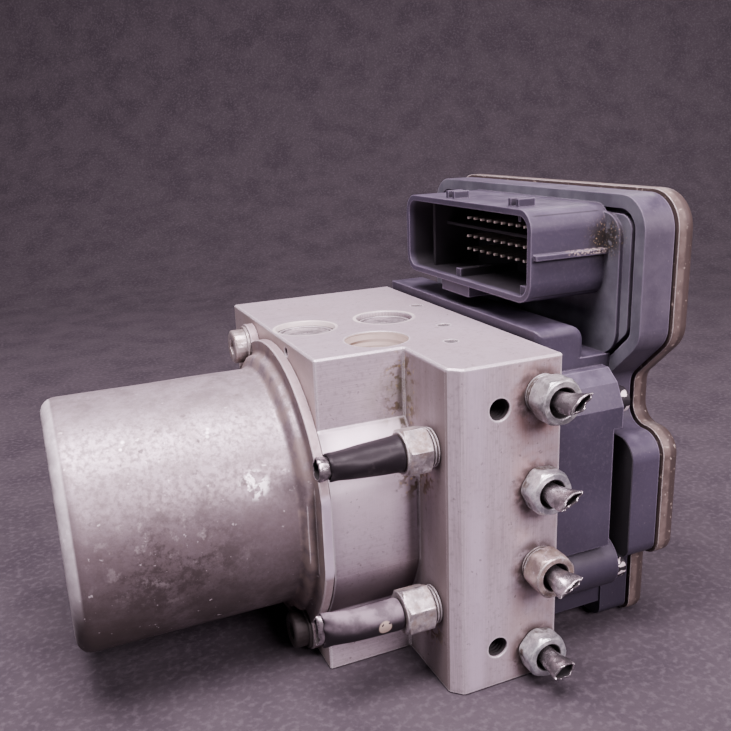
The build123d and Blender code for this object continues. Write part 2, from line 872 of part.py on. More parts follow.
def coil_spring(name, place, foot_z, head_z, radius, wire):
    """A compression spring of square wire that runs along Z between two seats."""
    with BuildPart() as spring:
        with BuildLine(Plane.XY.offset(foot_z + wire / 2).move(Location((place[0], place[1], 0)))) as path:
            Helix((head_z - foot_z - wire) / spring_turns, head_z - foot_z - wire, radius)
        with BuildSketch(Plane(path.wires()[0] @ 0, x_dir=(1, 0, 0), z_dir=(0, 1, 0))) as section:
            Rectangle(wire, wire)
        sweep(sections=section.sketch, path=path.wires()[0], is_frenet=True)
    finish(spring, name)


coil_spring(
    "pump_spring_upper",
    pump_place,
    motor_z + piston_outer,
    motor_z + closure_seat_top - sleeve_floor,
    pump_spring_radius,
    pump_spring_wire,
)
coil_spring(
    "pump_spring_lower",
    pump_place,
    motor_z - closure_seat_bottom + sleeve_floor,
    motor_z - piston_outer,
    pump_spring_radius,
    pump_spring_wire,
)
for place, name in zip(accumulator_places, ("front", "back")):
    coil_spring(
        f"accumulator_spring_{name}",
        place,
        cap_top,
        spring_seat,
        accumulator_spring_radius,
        accumulator_spring_wire,
    )
coil_spring(
    "brush_spring_upper",
    (brush_mid_x, motor_y),
    motor_z + brush_top,
    motor_z + holder_floor,
    brush_spring_radius,
    brush_spring_wire,
)
coil_spring(
    "brush_spring_lower",
    (brush_mid_x, motor_y),
    motor_z - holder_floor,
    motor_z - brush_top,
    brush_spring_radius,
    brush_spring_wire,
)

# Solenoid valves: twelve bodies with closed domes, and their plungers in four groups
valve_tip_x = controller_face_x - valve_depth
collar_end_x = controller_face_x + coil_stand_off
dome_end_x = controller_face_x + dome_length
bore_start_x = valve_tip_x + valve_seat_depth
nose_end_x = valve_tip_x + valve_nose_length
cavity_radius = dome_radius - dome_wall
cavity_end_x = dome_end_x - dome_end_wall
cavity_length = plunger_length + plunger_travel + 2 * running_gap
cavity_start_x = cavity_end_x - cavity_length
with BuildPart() as solenoid_valves:
    round_x(valve_tip_x, nose_end_x, valve_places, valve_radius - valve_nose_inset)
    round_x(nose_end_x, controller_face_x, valve_places, valve_radius)
    round_x(controller_face_x, collar_end_x, valve_places, valve_radius + valve_collar)
    round_x(collar_end_x, dome_end_x - dome_round, valve_places, dome_radius)
    round_x(dome_end_x - dome_round, dome_end_x, valve_places, dome_radius - dome_round)
    round_x(cavity_start_x, cavity_end_x, valve_places, cavity_radius, Mode.SUBTRACT)
    round_x(bore_start_x, cavity_start_x, valve_places, rod_radius + 2 * running_gap, Mode.SUBTRACT)
finish(solenoid_valves, "solenoid_valves")

with BuildPart() as solenoid_coils:
    round_x(collar_end_x, collar_end_x + coil_length, valve_places, coil_radius)
    for place in valve_places:
        pin_low_z = place[1] + coil_pin_height - coil_pin_size / 2
        for pin_y in (place[0] - coil_pin_spread, place[0] + coil_pin_spread):
            slab_x(
                collar_end_x + coil_length,
                board_x,
                (pin_y - coil_pin_size / 2, pin_low_z),
                (pin_y + coil_pin_size / 2, pin_low_z + coil_pin_size),
            )
    round_x(collar_end_x, collar_end_x + coil_length, valve_places, dome_radius, Mode.SUBTRACT)
finish(solenoid_coils, "solenoid_coils")

plunger_groups = {
    "outlet": valve_places[0::valve_rows],
    "inlet": valve_places[1::valve_rows],
    "switching": valve_places[2 :: 3 * valve_rows],
    "suction": valve_places[5:9:valve_rows],
}
for name, places in plunger_groups.items():
    normally_open = name in ("inlet", "switching")
    rest_x = cavity_start_x + running_gap
    if normally_open:
        rest_x += plunger_travel
    with BuildPart() as plungers:
        round_x(rest_x, rest_x + plunger_length, places, cavity_radius - running_gap)
        round_x(bore_start_x + rest_x - cavity_start_x, rest_x, places, rod_radius)
    finish(plungers, f"plungers_{name}")

# Pressure sensor and motor contact
sensor_x = controller_face_x - sensor_depth
with BuildPart() as pressure_sensor:
    round_x(sensor_x, controller_face_x, [(sensor_y, sensor_z)], sensor_radius)
    sensor_end_x = controller_face_x + sensor_length
    round_x(controller_face_x, sensor_end_x, [(sensor_y, sensor_z)], sensor_radius - sensor_shoulder)
finish(pressure_sensor, "pressure_sensor")

with BuildPart() as motor_contact:
    round_x(flange_face_x, board_x, [(contact_y, contact_z)], contact_radius - contact_shoulder)
    round_x(motor_face_x, controller_face_x, [(contact_y, contact_z)], contact_radius)
finish(motor_contact, "motor_contact")


def flat_tube_x(stations, mode=Mode.ADD):
    """A tube along X through ovals, each given as (x, y, z, radius along y, radius along z)."""
    sections = []
    for x, y, z, radius_y, radius_z in stations:
        with BuildSketch(Plane.YZ.offset(x)) as section:
            with Locations((y, z)):
                Ellipse(radius_y, radius_z)
        sections.append(section.sketch)
    loft(sections=sections, ruled=True, mode=mode)


def flat_tube_y(stations, turn, mode=Mode.ADD):
    """A tube along Y through turned ovals, each given as (y, x, z, long radius, short radius)."""
    sections = []
    for y, x, z, long_radius, short_radius in stations:
        with BuildSketch(Plane.XZ.offset(-y)) as section:
            with Locations(Location((x, z, 0), (0, 0, turn))):
                Ellipse(long_radius, short_radius)
        sections.append(section.sketch)
    loft(sections=sections, ruled=True, mode=mode)


# Pipe nuts of the port face with their cut and pinched pipe ends
port_bottom_y = port_face_y + port_depth
flare_y = port_bottom_y - flare_length
for number, place in enumerate(port_places, start=1):
    thread_y = port_face_y - nut_threads[number - 1]
    nut_end_y = thread_y - nut_length
    with BuildPart() as nut:
        round_y(flare_y, port_face_y, [place], port_radius)
        if thread_y < port_face_y:
            round_y(port_face_y, thread_y, [place], nut_thread_radius)
        with BuildSketch(Plane.XZ.offset(-thread_y)) as hexagon:
            with Locations(place):
                RegularPolygon(nut_flats / 2, 6, major_radius=False)
        extrude(hexagon.sketch, amount=nut_length - nut_end_step)
        round_y(nut_end_y + nut_end_step, nut_end_y, [place], nut_end_radius)
        round_y(flare_y, nut_end_y, [place], pipe_radius + seat_gap, Mode.SUBTRACT)
        round_y(thread_y, nut_end_y, [place], nut_bore, Mode.SUBTRACT)
    finish(nut, f"port_nut_{number}")

    shift_x, shift_z, wide, narrow, turn, reach = pinches[number - 1]
    bend_y = nut_end_y - pinch_start
    tip_y = nut_end_y - reach
    hollow = pipe_radius - pipe_wall
    place_x, place_z = place
    tip_x = place_x + shift_x
    tip_z = place_z + shift_z
    with BuildPart() as stub:
        flat_tube_y(
            (
                (port_bottom_y, place_x, place_z, pipe_radius, pipe_radius),
                (bend_y, place_x, place_z, pipe_radius, pipe_radius),
                (tip_y, tip_x, tip_z, wide, narrow),
            ),
            turn,
        )
        round_y(port_bottom_y, flare_y, [place], flare_radius)
        flat_tube_y(
            (
                (port_bottom_y, place_x, place_z, hollow, hollow),
                (bend_y, place_x, place_z, hollow, hollow),
                (tip_y, tip_x, tip_z, wide - pipe_wall, narrow - pipe_wall),
            ),
            turn,
            Mode.SUBTRACT,
        )
    finish(stub, f"pipe_stub_{number}")

# Inlet nuts of the step face, whose pipes still wear a black sleeve
inlet_bottom_x = step_face_x + port_depth
inlet_flare_x = inlet_bottom_x - flare_length
inlet_nut_ends = [step_face_x - inlet_thread - length for length in inlet_nut_lengths]
for number, place in enumerate(inlet_places, start=1):
    thread_x = step_face_x - inlet_thread
    nut_end_x = inlet_nut_ends[number - 1]
    with BuildPart() as nut:
        round_x(inlet_flare_x, step_face_x, [place], port_radius)
        round_x(step_face_x, thread_x, [place], nut_thread_radius)
        with BuildSketch(Plane.YZ.offset(thread_x)) as hexagon:
            with Locations(place):
                RegularPolygon(nut_flats / 2, 6, major_radius=False)
        extrude(hexagon.sketch, amount=nut_end_x - thread_x + nut_end_step)
        round_x(nut_end_x + nut_end_step, nut_end_x, [place], nut_end_radius)
        round_x(inlet_flare_x, nut_end_x, [place], pipe_radius + seat_gap, Mode.SUBTRACT)
    finish(nut, f"inlet_nut_{number}")

# The first pipe is pinched past its sleeve, the second is crushed together with it
hollow = pipe_radius - pipe_wall
pipe_bends = [end_x - run for end_x, run in zip(inlet_nut_ends, pipe_runs)]
pipe_ends = [bend_x - reach for bend_x, reach in zip(pipe_bends, pipe_tip_reaches)]
for number, place in enumerate(inlet_places, start=1):
    place_y, place_z = place
    bend_x = pipe_bends[number - 1]
    tip_x = pipe_ends[number - 1]
    tip_y = place_y + pipe_tip_shifts[number - 1]
    radius_y = pipe_tip_widths[number - 1]
    radius_z = pipe_tip_heights[number - 1]
    with BuildPart() as inlet_pipe:
        flat_tube_x(
            (
                (inlet_bottom_x, place_y, place_z, pipe_radius, pipe_radius),
                (bend_x, place_y, place_z, pipe_radius, pipe_radius),
                (tip_x, tip_y, place_z, radius_y, radius_z),
            )
        )
        round_x(inlet_bottom_x, inlet_flare_x, [place], flare_radius)
        flat_tube_x(
            (
                (inlet_bottom_x, place_y, place_z, hollow, hollow),
                (bend_x, place_y, place_z, hollow, hollow),
                (tip_x, tip_y, place_z, radius_y - pipe_wall, radius_z - pipe_wall),
            ),
            Mode.SUBTRACT,
        )
    finish(inlet_pipe, f"inlet_pipe_{number}")

with BuildPart() as inlet_sleeve_1:
    place_y, place_z = inlet_places[0]
    nut_end_x = inlet_nut_ends[0]
    taper_x = nut_end_x - first_sleeve_taper
    flat_tube_x(
        (
            (nut_end_x, place_y, place_z, sleeve_mouths[0], sleeve_mouths[0]),
            (taper_x, place_y, place_z, first_sleeve_radius, first_sleeve_radius),
            (pipe_bends[0], place_y, place_z, first_sleeve_end, first_sleeve_end),
        )
    )
    round_x(nut_end_x, pipe_bends[0], [inlet_places[0]], pipe_radius, Mode.SUBTRACT)
finish(inlet_sleeve_1, "inlet_sleeve_1")

with BuildPart() as inlet_sleeve_2:
    place_y, place_z = inlet_places[1]
    nut_end_x = inlet_nut_ends[1]
    bend_x = pipe_bends[1]
    sleeve_tip_x = bend_x - second_sleeve_reach
    sleeve_tip_y = place_y - second_sleeve_shift
    sleeve_tip_z = place_z - second_sleeve_shift
    tip_y = place_y + pipe_tip_shifts[1]
    flat_tube_x(
        (
            (nut_end_x, place_y, place_z, sleeve_mouths[1], sleeve_mouths[1]),
            (bend_x, place_y, place_z, second_sleeve_bend, second_sleeve_bend),
            (sleeve_tip_x, sleeve_tip_y, sleeve_tip_z, second_sleeve_width, second_sleeve_height),
        )
    )
    flat_tube_x(
        (
            (nut_end_x, place_y, place_z, pipe_radius, pipe_radius),
            (bend_x, place_y, place_z, pipe_radius, pipe_radius),
            (pipe_ends[1], tip_y, place_z, pipe_tip_widths[1], pipe_tip_heights[1]),
        ),
        Mode.SUBTRACT,
    )
finish(inlet_sleeve_2, "inlet_sleeve_2")


def plate_sketch(x, inset, ring=0.0, low_z=0.0):
    """The controller outline made smaller by the inset, as a ring if one is asked for, above low_z."""
    points = [(corner[0], corner[1]) for corner in plate_outline]
    rounding = [corner[2] for corner in plate_outline]
    with BuildSketch(Plane.YZ.offset(x)) as shape:
        with BuildLine():
            FilletPolyline(*points, radius=rounding, close=True)
        make_face()
        if inset:
            offset(amount=-inset, mode=Mode.REPLACE)
        if ring:
            offset(amount=-ring, mode=Mode.SUBTRACT)
        if low_z:
            with Locations((0, low_z - block_height)):
                Rectangle(4 * block_width, 2 * block_height, mode=Mode.SUBTRACT)
    return shape.sketch


def shroud_sketch(x, inset):
    """The rounded outline of the connector, made smaller by the inset."""
    with BuildSketch(Plane.YZ.offset(x)) as shape:
        with Locations(((shroud_low_y + shroud_high_y) / 2, (shroud_low_z + shroud_high_z) / 2)):
            RectangleRounded(
                shroud_high_y - shroud_low_y - 2 * inset,
                shroud_high_z - shroud_low_z - 2 * inset,
                shroud_corner - inset,
            )
    return shape.sketch


def pin_squares(x):
    """The cross-sections of all signal pins and of the two supply blades."""
    columns = [pin_first_y - pin_pitch * column for column in range(pin_columns)]
    with BuildSketch(Plane.YZ.offset(x)) as shape:
        with Locations(*[(y, z) for y in columns for z in pin_rows]):
            Rectangle(pin_size, pin_size)
        with Locations(*blade_places):
            Rectangle(pin_size, blade_width)
    return shape.sketch


# Controller housing
back_screws = [place for place in controller_screws if place[0] > 0]
chamber_low = (chamber_front_y, chamber_bottom_z)
chamber_high = (chamber_back_y, chamber_top_z)
chamber_inner_low = (chamber_front_y + housing_wall, chamber_bottom_z + housing_wall)
chamber_inner_high = (chamber_back_y - housing_wall, chamber_top_z - housing_wall)
box_low = (box_front_y, box_bottom_z)
box_high = (chamber_front_y, box_top_z)
box_inner_low = (box_front_y + housing_wall, box_bottom_z + housing_wall)
box_inner_high = (chamber_front_y + housing_wall, box_top_z - housing_wall)
socket_floor_x = shroud_front_x + socket_depth
hump_foot_z = chamber_top_z - 2 * housing_wall
with BuildPart() as hump:
    slab_x(
        housing_x,
        hump_end_x,
        (chamber_front_y, hump_foot_z),
        (hump_back_y, hump_top_z),
    )
    fillet(hump.faces().sort_by(Axis.X)[-1].edges().sort_by(Axis.Z)[-1], hump_round)
    fillet(hump.faces().sort_by(Axis.Y)[0].edges().sort_by(Axis.Z)[1:], hump_round / 2)

with BuildPart() as ecu_housing:
    extrude(plate_sketch(plate_front_x, 0), amount=plate_rear_x - parting_width - plate_front_x)
    extrude(plate_sketch(plate_rear_x - parting_width, parting_step), amount=parting_width)
    extrude(plate_sketch(floor_x, plate_wall + board_ledge), amount=board_stand_off, mode=Mode.SUBTRACT)
    extrude(plate_sketch(board_x, plate_wall), amount=plate_rear_x - board_x, mode=Mode.SUBTRACT)
    extrude(
        plate_sketch(plate_front_x, groove_inset, groove_width, groove_low_z),
        amount=groove_depth,
        mode=Mode.SUBTRACT,
    )
    with BuildSketch(Plane.YZ.offset(platform_front_x)) as platform:
        with Locations(
            (
                (platform_low[0] + platform_high[0]) / 2,
                (platform_low[1] + platform_high[1]) / 2,
            )
        ):
            RectangleRounded(
                platform_high[0] - platform_low[0],
                platform_high[1] - platform_low[1],
                platform_corner,
            )
    extrude(platform.sketch, amount=plate_front_x - platform_front_x)
    slab_x(housing_x, plate_front_x, chamber_low, chamber_high)
    add(hump.part)
    slab_x(housing_x, box_end_x, box_low, box_high)
    with BuildSketch(Plane.YZ.offset(housing_x)) as upper_boss:
        with BuildLine():
            Polyline(
                (chamber_front_y, box_top_z),
                (box_front_y, box_top_z),
                *[(box_front_y + inset, box_top_z + height) for inset, height in upper_boss_corners],
                (chamber_front_y, box_top_z + upper_boss_corners[-1][1]),
                close=True,
            )
        make_face()
    extrude(upper_boss.sketch, amount=upper_boss_end_x - housing_x)
    round_x(housing_x, lower_boss_end_x, [(lower_boss_y, lower_boss_z)], lower_boss_radius)
    round_x(housing_x, plate_front_x, back_screws, well_radius + well_wall)
    round_x(controller_face_x, housing_x, controller_screws, controller_foot_radius)
    extrude(shroud_sketch(shroud_front_x, 0), amount=plate_front_x - shroud_front_x)
    # Outside rib and lugs of the connector
    slab_x(
        shroud_front_x + side_rib_recess,
        platform_front_x,
        (shroud_low_y - side_rib_reach, side_rib_z),
        (shroud_low_y, side_rib_z + side_rib_height),
    )
    for prong_y in [lug_y + prong for lug_y in lug_places_y for prong in lug_prongs]:
        slab_x(
            shroud_front_x + lug_recess,
            shroud_front_x + lug_recess + lug_length,
            (prong_y, shroud_high_z),
            (prong_y + lug_thickness, shroud_high_z + lug_height),
        )
    slab_x(shroud_front_x + foot_recess, plate_front_x, foot_low, (foot_high_y, shroud_low_z))
    # Hollows
    slab_x(housing_x, chamber_end_x, chamber_inner_low, chamber_inner_high, Mode.SUBTRACT)
    slab_x(
        housing_x + housing_wall,
        hump_end_x - housing_wall,
        (chamber_front_y + housing_wall, hump_foot_z),
        (hump_back_y - housing_wall, hump_top_z - housing_wall),
        Mode.SUBTRACT,
    )
    slab_x(housing_x, box_end_x - housing_wall, box_inner_low, box_inner_high, Mode.SUBTRACT)
    slab_x(chamber_end_x, floor_x, window_low, window_high, Mode.SUBTRACT)
    extrude(shroud_sketch(shroud_front_x, shroud_wall), amount=socket_depth, mode=Mode.SUBTRACT)
    # Ribs and keys inside the connector
    socket_low_z = shroud_low_z + shroud_wall
    socket_high_z = shroud_high_z - shroud_wall
    divider_back_y = divider_y + divider_thickness
    key_x = shroud_front_x + key_recess
    slab_x(
        shroud_front_x + divider_recess,
        socket_floor_x,
        (divider_y, socket_low_z),
        (divider_back_y, socket_high_z),
    )
    slab_x(
        pin_tip_x + pin_rib_thickness,
        socket_floor_x,
        (shroud_low_y + shroud_wall, pin_rib_z),
        (divider_back_y + pin_rib_end, pin_rib_z + pin_rib_thickness),
    )
    for key_y in key_places_y:
        slab_x(
            key_x,
            socket_floor_x,
            (key_y, socket_low_z),
            (key_y + key_size, socket_low_z + key_size),
        )
    slab_x(
        key_x,
        socket_floor_x,
        (nub_y, socket_high_z - nub_height),
        (nub_y + nub_width, socket_high_z),
    )
    # Screw wells, screw bores and pin holes
    round_x(plate_front_x, plate_rear_x, back_screws, well_radius + well_wall)
    round_x(lower_boss_end_x, plate_rear_x, back_screws, well_radius, Mode.SUBTRACT)
    round_x(controller_face_x, lower_boss_end_x, controller_screws, controller_screw_hole, Mode.SUBTRACT)
    extrude(pin_squares(socket_floor_x), amount=floor_x - socket_floor_x, mode=Mode.SUBTRACT)
finish(ecu_housing, "ecu_housing")

with BuildPart() as connector_pins:
    extrude(pin_squares(pin_tip_x), amount=board_x - pin_tip_x)
finish(connector_pins, "connector_pins")

with BuildPart() as circuit_board:
    extrude(plate_sketch(board_x, plate_wall + board_gap), amount=board_thickness)
    round_x(
        board_x,
        board_x + board_thickness,
        back_screws,
        well_radius + well_wall + board_gap,
        Mode.SUBTRACT,
    )
    board_top_x = board_x + board_thickness
    for chip_low, chip_high, chip_height in board_chips:
        slab_x(board_top_x, board_top_x + chip_height, chip_low, chip_high)
finish(circuit_board, "circuit_board")

# Cover, whose rim stands a little proud of the housing
with BuildPart() as ecu_cover:
    extrude(plate_sketch(plate_rear_x, -cover_lip), amount=cover_rear_x - plate_rear_x)
    fillet(ecu_cover.faces().sort_by(Axis.X)[-1].edges(), cover_edge)
    extrude(
        plate_sketch(plate_rear_x, plate_wall),
        amount=cover_rear_x - cover_wall - plate_rear_x,
        mode=Mode.SUBTRACT,
    )
    round_x(plate_rear_x, cover_rear_x, back_screws, well_radius + well_wall)
    round_x(plate_rear_x, cover_rear_x, back_screws, well_radius, Mode.SUBTRACT)
finish(ecu_cover, "ecu_cover")

with BuildPart() as ecu_seal:
    slab_x(controller_face_x, housing_x, chamber_low, chamber_high)
    slab_x(controller_face_x, housing_x, box_low, box_high)
    slab_x(controller_face_x, housing_x, chamber_inner_low, chamber_inner_high, Mode.SUBTRACT)
    slab_x(controller_face_x, housing_x, box_inner_low, box_inner_high, Mode.SUBTRACT)
finish(ecu_seal, "ecu_seal")

# Screws that hold the controller on the block
with BuildPart() as ecu_screws:
    for place in controller_screws:
        shoulder_x = upper_boss_end_x if place == controller_screws[0] else lower_boss_end_x
        head_x = shoulder_x + controller_screw_head
        screw_tip_x = controller_face_x - controller_screw_depth
        round_x(screw_tip_x, shoulder_x, [place], controller_screw_radius - seat_gap)
        round_x(shoulder_x, head_x, [place], controller_screw_head_radius)
        with BuildSketch(Plane.YZ.offset(head_x)) as drive:
            with Locations(place):
                RegularPolygon(controller_drive_radius, 6)
        extrude(drive.sketch, amount=-controller_drive_depth, mode=Mode.SUBTRACT)
finish(ecu_screws, "ecu_screws")
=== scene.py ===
from math import cos, pi, radians, sin

import bmesh
import bpy
from mathutils import Euler, Matrix, Vector, noise


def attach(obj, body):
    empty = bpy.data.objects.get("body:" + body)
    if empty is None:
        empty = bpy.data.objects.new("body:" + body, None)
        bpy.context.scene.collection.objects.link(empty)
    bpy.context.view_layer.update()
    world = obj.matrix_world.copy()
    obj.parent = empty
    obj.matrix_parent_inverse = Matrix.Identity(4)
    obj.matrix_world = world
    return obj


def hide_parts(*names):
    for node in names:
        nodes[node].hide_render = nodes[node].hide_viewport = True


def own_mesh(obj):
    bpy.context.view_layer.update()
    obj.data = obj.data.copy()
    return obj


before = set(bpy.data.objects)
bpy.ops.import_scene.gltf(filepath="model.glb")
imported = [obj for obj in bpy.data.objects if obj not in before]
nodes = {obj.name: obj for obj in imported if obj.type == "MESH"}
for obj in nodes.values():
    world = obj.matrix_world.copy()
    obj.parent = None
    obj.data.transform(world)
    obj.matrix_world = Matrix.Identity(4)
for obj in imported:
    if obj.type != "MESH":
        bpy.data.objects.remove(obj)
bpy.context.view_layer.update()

MM = 0.001

# Places on the object, in millimetres

PORT_X = 25.7
PORT_Z = (94.0, 64.9, 39.1, 10.0)
PORT_FACE = -60.25
HOLE_X = 11.6
HOLE_Z = (91.35, 13.65)
STEP_FACE = -3.75
INLET_Y = -47.9
INLET_Z = (78.8, 26.6)
MOTOR_Y = 9.0
MOTOR_Z = 52.0
MOTOR_FACE = -32.75
EARS = ((25.0, 43.301), (-25.0, -43.301))
BLOCK_TOP = 105.0
PUMP_X = -21.4
DAMPER = (7.8, 9.1)
CUP = (-6.8, -17.2)
STORE_X = 0.0
STORE_Y = (-15.0, 33.0)
BRUSH_X = -45.75
NUT_FLATS = 13.0


# Camera, at the photograph's viewing angle

def place_camera():
    data = bpy.data.cameras.new("camera")
    data.sensor_width = 36.0
    data.lens = 40.555
    data.clip_start = 0.01
    camera = bpy.data.objects.new("camera", data)
    camera.location = (-0.10725, -0.24806, 0.17011)
    camera.rotation_euler = Euler((radians(73.6701), radians(2.18), radians(-23.2857)))
    bpy.context.scene.collection.objects.link(camera)
    bpy.context.scene.camera = camera


# Floor and light

def lay_floor():
    """A dark floor that curves up into a backdrop behind the object."""
    shape = bmesh.new()
    steps = [(-3.0, 0.0), (0.55, 0.0)]
    steps += [(0.55 + 0.45 * sin(radians(a)), 0.45 - 0.45 * cos(radians(a))) for a in range(9, 90, 9)]
    steps += [(1.0, 0.45), (1.0, 3.0)]
    rows = [[shape.verts.new((side, along, up)) for side in (-3.0, 3.0)] for along, up in steps]
    for low, high in zip(rows, rows[1:]):
        shape.faces.new((low[0], low[1], high[1], high[0]))
    bmesh.ops.rotate(shape, cent=(0, 0, 0), matrix=Matrix.Rotation(radians(-23.3), 3, "Z"), verts=shape.verts)
    bmesh.ops.recalc_face_normals(shape, faces=shape.faces)
    mesh = bpy.data.meshes.new("floor")
    shape.to_mesh(mesh)
    shape.free()
    mesh.shade_smooth()
    floor = bpy.data.objects.new("floor", mesh)
    bpy.context.scene.collection.objects.link(floor)
    f = Finish("dark_cloth", (0.060, 0.052, 0.060), 0.0, 0.95)
    f.shader.inputs["Specular IOR Level"].default_value = 0.1
    f.paint(f.ramp(f.grain(35, 5), 0.35, 0.7, 0.0, 0.7), (0.038, 0.032, 0.040))
    f.paint(f.ramp(f.grain(420, 3), 0.45, 0.7, 0.0, 0.5), (0.100, 0.088, 0.100))
    f.raise_by(f.grain(300, 4), 0.6)
    mesh.materials.append(f.done())


def hang_light(name, place, aim, size, power, tint):
    data = bpy.data.lights.new(name, "AREA")
    data.shape = "RECTANGLE"
    data.size = size[0]
    data.size_y = size[1]
    data.energy = power
    data.color = tint
    lamp = bpy.data.objects.new(name, data)
    lamp.location = place
    lamp.rotation_euler = (Vector(aim) - Vector(place)).to_track_quat("-Z", "Y").to_euler()
    bpy.context.scene.collection.objects.link(lamp)


def light_studio():
    world = bpy.data.worlds.new("studio")
    world.use_nodes = True
    world.node_tree.nodes["Background"].inputs["Color"].default_value = (0.86, 0.74, 0.84, 1)
    world.node_tree.nodes["Background"].inputs["Strength"].default_value = 0.07
    bpy.context.scene.world = world
    hang_light("overhead", (-0.12, -0.16, 0.85), (-0.02, 0, 0.06), (0.6, 0.4), 24.0, (1.0, 0.825, 0.93))
    hang_light("front_right", (0.25, -0.85, 0.60), (0, 0, 0.07), (0.4, 0.35), 13.0, (1.0, 0.815, 0.925))
    hang_light("behind", (0.75, 0.80, 0.65), (0, 0, 0.07), (0.5, 0.4), 7.0, (1.0, 0.88, 0.95))
    hang_light("left", (-0.85, -0.15, 0.55), (-0.04, 0, 0.06), (0.3, 0.5), 1.1, (1.0, 0.90, 0.96))


# Material parts

class Finish:
    """A material whose nodes are added one after the other."""

    def __init__(self, name, color, metallic, roughness):
        self.material = bpy.data.materials.new(name)
        self.material.use_nodes = True
        self.tree = self.material.node_tree
        self.shader = self.tree.nodes["Principled BSDF"]
        self.shader.inputs["Base Color"].default_value = (*color, 1)
        self.shader.inputs["Metallic"].default_value = metallic
        self.shader.inputs["Roughness"].default_value = roughness
        self.place = self.tree.nodes.new("ShaderNodeTexCoord").outputs["Object"]
        self.color = None
        self.base = (*color, 1)
        self.rough = None
        self.rough_base = roughness
        self.height = None
        self.metal = None
        self.metal_base = metallic

    def node(self, kind, **settings):
        made = self.tree.nodes.new(kind)
        for key, value in settings.items():
            setattr(made, key, value)
        return made

    def link(self, source, target):
        self.tree.links.new(source, target)

    def feed(self, socket, value):
        if isinstance(value, bpy.types.NodeSocket):
            self.link(value, socket)
        elif hasattr(socket.default_value, "__len__") and not hasattr(value, "__len__"):
            socket.default_value = (value,) * len(socket.default_value)
        else:
            socket.default_value = value

    def spread(self, stretch, shift):
        mapping = self.node("ShaderNodeMapping")
        mapping.inputs["Scale"].default_value = stretch
        mapping.inputs["Location"].default_value = shift
        self.link(self.place, mapping.inputs["Vector"])
        return mapping.outputs["Vector"]

    def grain(self, scale, detail=3.0, stretch=(1, 1, 1), shift=(0, 0, 0), rough=0.55):
        speckle = self.node("ShaderNodeTexNoise")
        speckle.inputs["Scale"].default_value = scale
        speckle.inputs["Detail"].default_value = detail
        speckle.inputs["Roughness"].default_value = rough
        self.link(self.spread(stretch, shift), speckle.inputs["Vector"])
        return speckle.outputs["Fac"]

    def ramp(self, value, low, high, start=0.0, end=1.0):
        """A smooth step: start below low, end above high."""
        step = self.node("ShaderNodeMapRange", interpolation_type="SMOOTHSTEP")
        self.feed(step.inputs["Value"], value)
        step.inputs["From Min"].default_value = low
        step.inputs["From Max"].default_value = high
        step.inputs["To Min"].default_value = start
        step.inputs["To Max"].default_value = end
        return step.outputs["Result"]

    def sum(self, operation, a, b):
        math = self.node("ShaderNodeMath", operation=operation)
        self.feed(math.inputs[0], a)
        self.feed(math.inputs[1], b)
        return math.outputs["Value"]

    def axis(self, letter):
        parts = self.node("ShaderNodeSeparateXYZ")
        self.link(self.place, parts.inputs["Vector"])
        return parts.outputs[letter]

    def facing(self, letter):
        parts = self.node("ShaderNodeSeparateXYZ")
        self.link(self.node("ShaderNodeNewGeometry").outputs["Normal"], parts.inputs["Vector"])
        return parts.outputs[letter]

    def near(self, spot, reach, soft):
        """1 inside reach of a spot in millimetres, falling to 0 over soft millimetres."""
        distance = self.node("ShaderNodeVectorMath", operation="DISTANCE")
        self.link(self.place, distance.inputs[0])
        distance.inputs[1].default_value = tuple(v * MM for v in spot)
        return self.ramp(distance.outputs["Value"], reach * MM, (reach + soft) * MM, 1.0, 0.0)

    def within(self, letter, low, high, soft=0.4):
        """1 between two heights in millimetres along an axis, 0 outside."""
        value = self.axis(letter)
        above = self.ramp(value, low * MM, (low + soft) * MM)
        below = self.ramp(value, (high - soft) * MM, high * MM, 1.0, 0.0)
        return self.sum("MULTIPLY", above, below)

    def both(self, *amounts):
        """The product of several amounts."""
        result = amounts[0]
        for amount in amounts[1:]:
            result = self.sum("MULTIPLY", result, amount)
        return result

    def from_axis(self, spot, flat):
        """Distance in metres from a line through a spot; flat is 0 along the line and 1 across it."""
        away = self.node("ShaderNodeVectorMath", operation="SUBTRACT")
        self.link(self.place, away.inputs[0])
        away.inputs[1].default_value = tuple(v * MM for v in spot)
        across = self.node("ShaderNodeVectorMath", operation="MULTIPLY")
        self.link(away.outputs["Vector"], across.inputs[0])
        across.inputs[1].default_value = flat
        length = self.node("ShaderNodeVectorMath", operation="LENGTH")
        self.link(across.outputs["Vector"], length.inputs[0])
        return length.outputs["Value"]

    def edge_highlight(self, radius):
        """1 along the outward edges of the shape, 0 elsewhere; it places the painted highlights on edges."""
        rounded = self.rounded(radius)
        dot = self.node("ShaderNodeVectorMath", operation="DOT_PRODUCT")
        self.link(rounded, dot.inputs[0])
        self.link(self.node("ShaderNodeNewGeometry").outputs["Normal"], dot.inputs[1])
        edge = self.ramp(dot.outputs["Value"], 0.86, 0.995, 1.0, 0.0)
        open_place = self.ramp(self.crevice(radius * 1.6, 0.45, 0.75), 0.0, 1.0, 1.0, 0.0)
        return self.sum("MULTIPLY", edge, open_place)

    def crevice(self, reach, low=0.25, high=0.85):
        """1 deep in corners and gaps narrower than reach in millimetres, 0 in the open."""
        open_sky = self.node("ShaderNodeAmbientOcclusion", samples=4)
        open_sky.inputs["Distance"].default_value = reach * MM
        return self.ramp(open_sky.outputs["AO"], low, high, 1.0, 0.0)

    def paint(self, amount, color):
        """Lays a colour over what is there, by amount."""
        mix = self.node("ShaderNodeMix", data_type="RGBA")
        self.feed(mix.inputs[0], amount)
        self.feed(mix.inputs[6], self.color or self.base)
        mix.inputs[7].default_value = (*color, 1)
        self.color = mix.outputs[2]

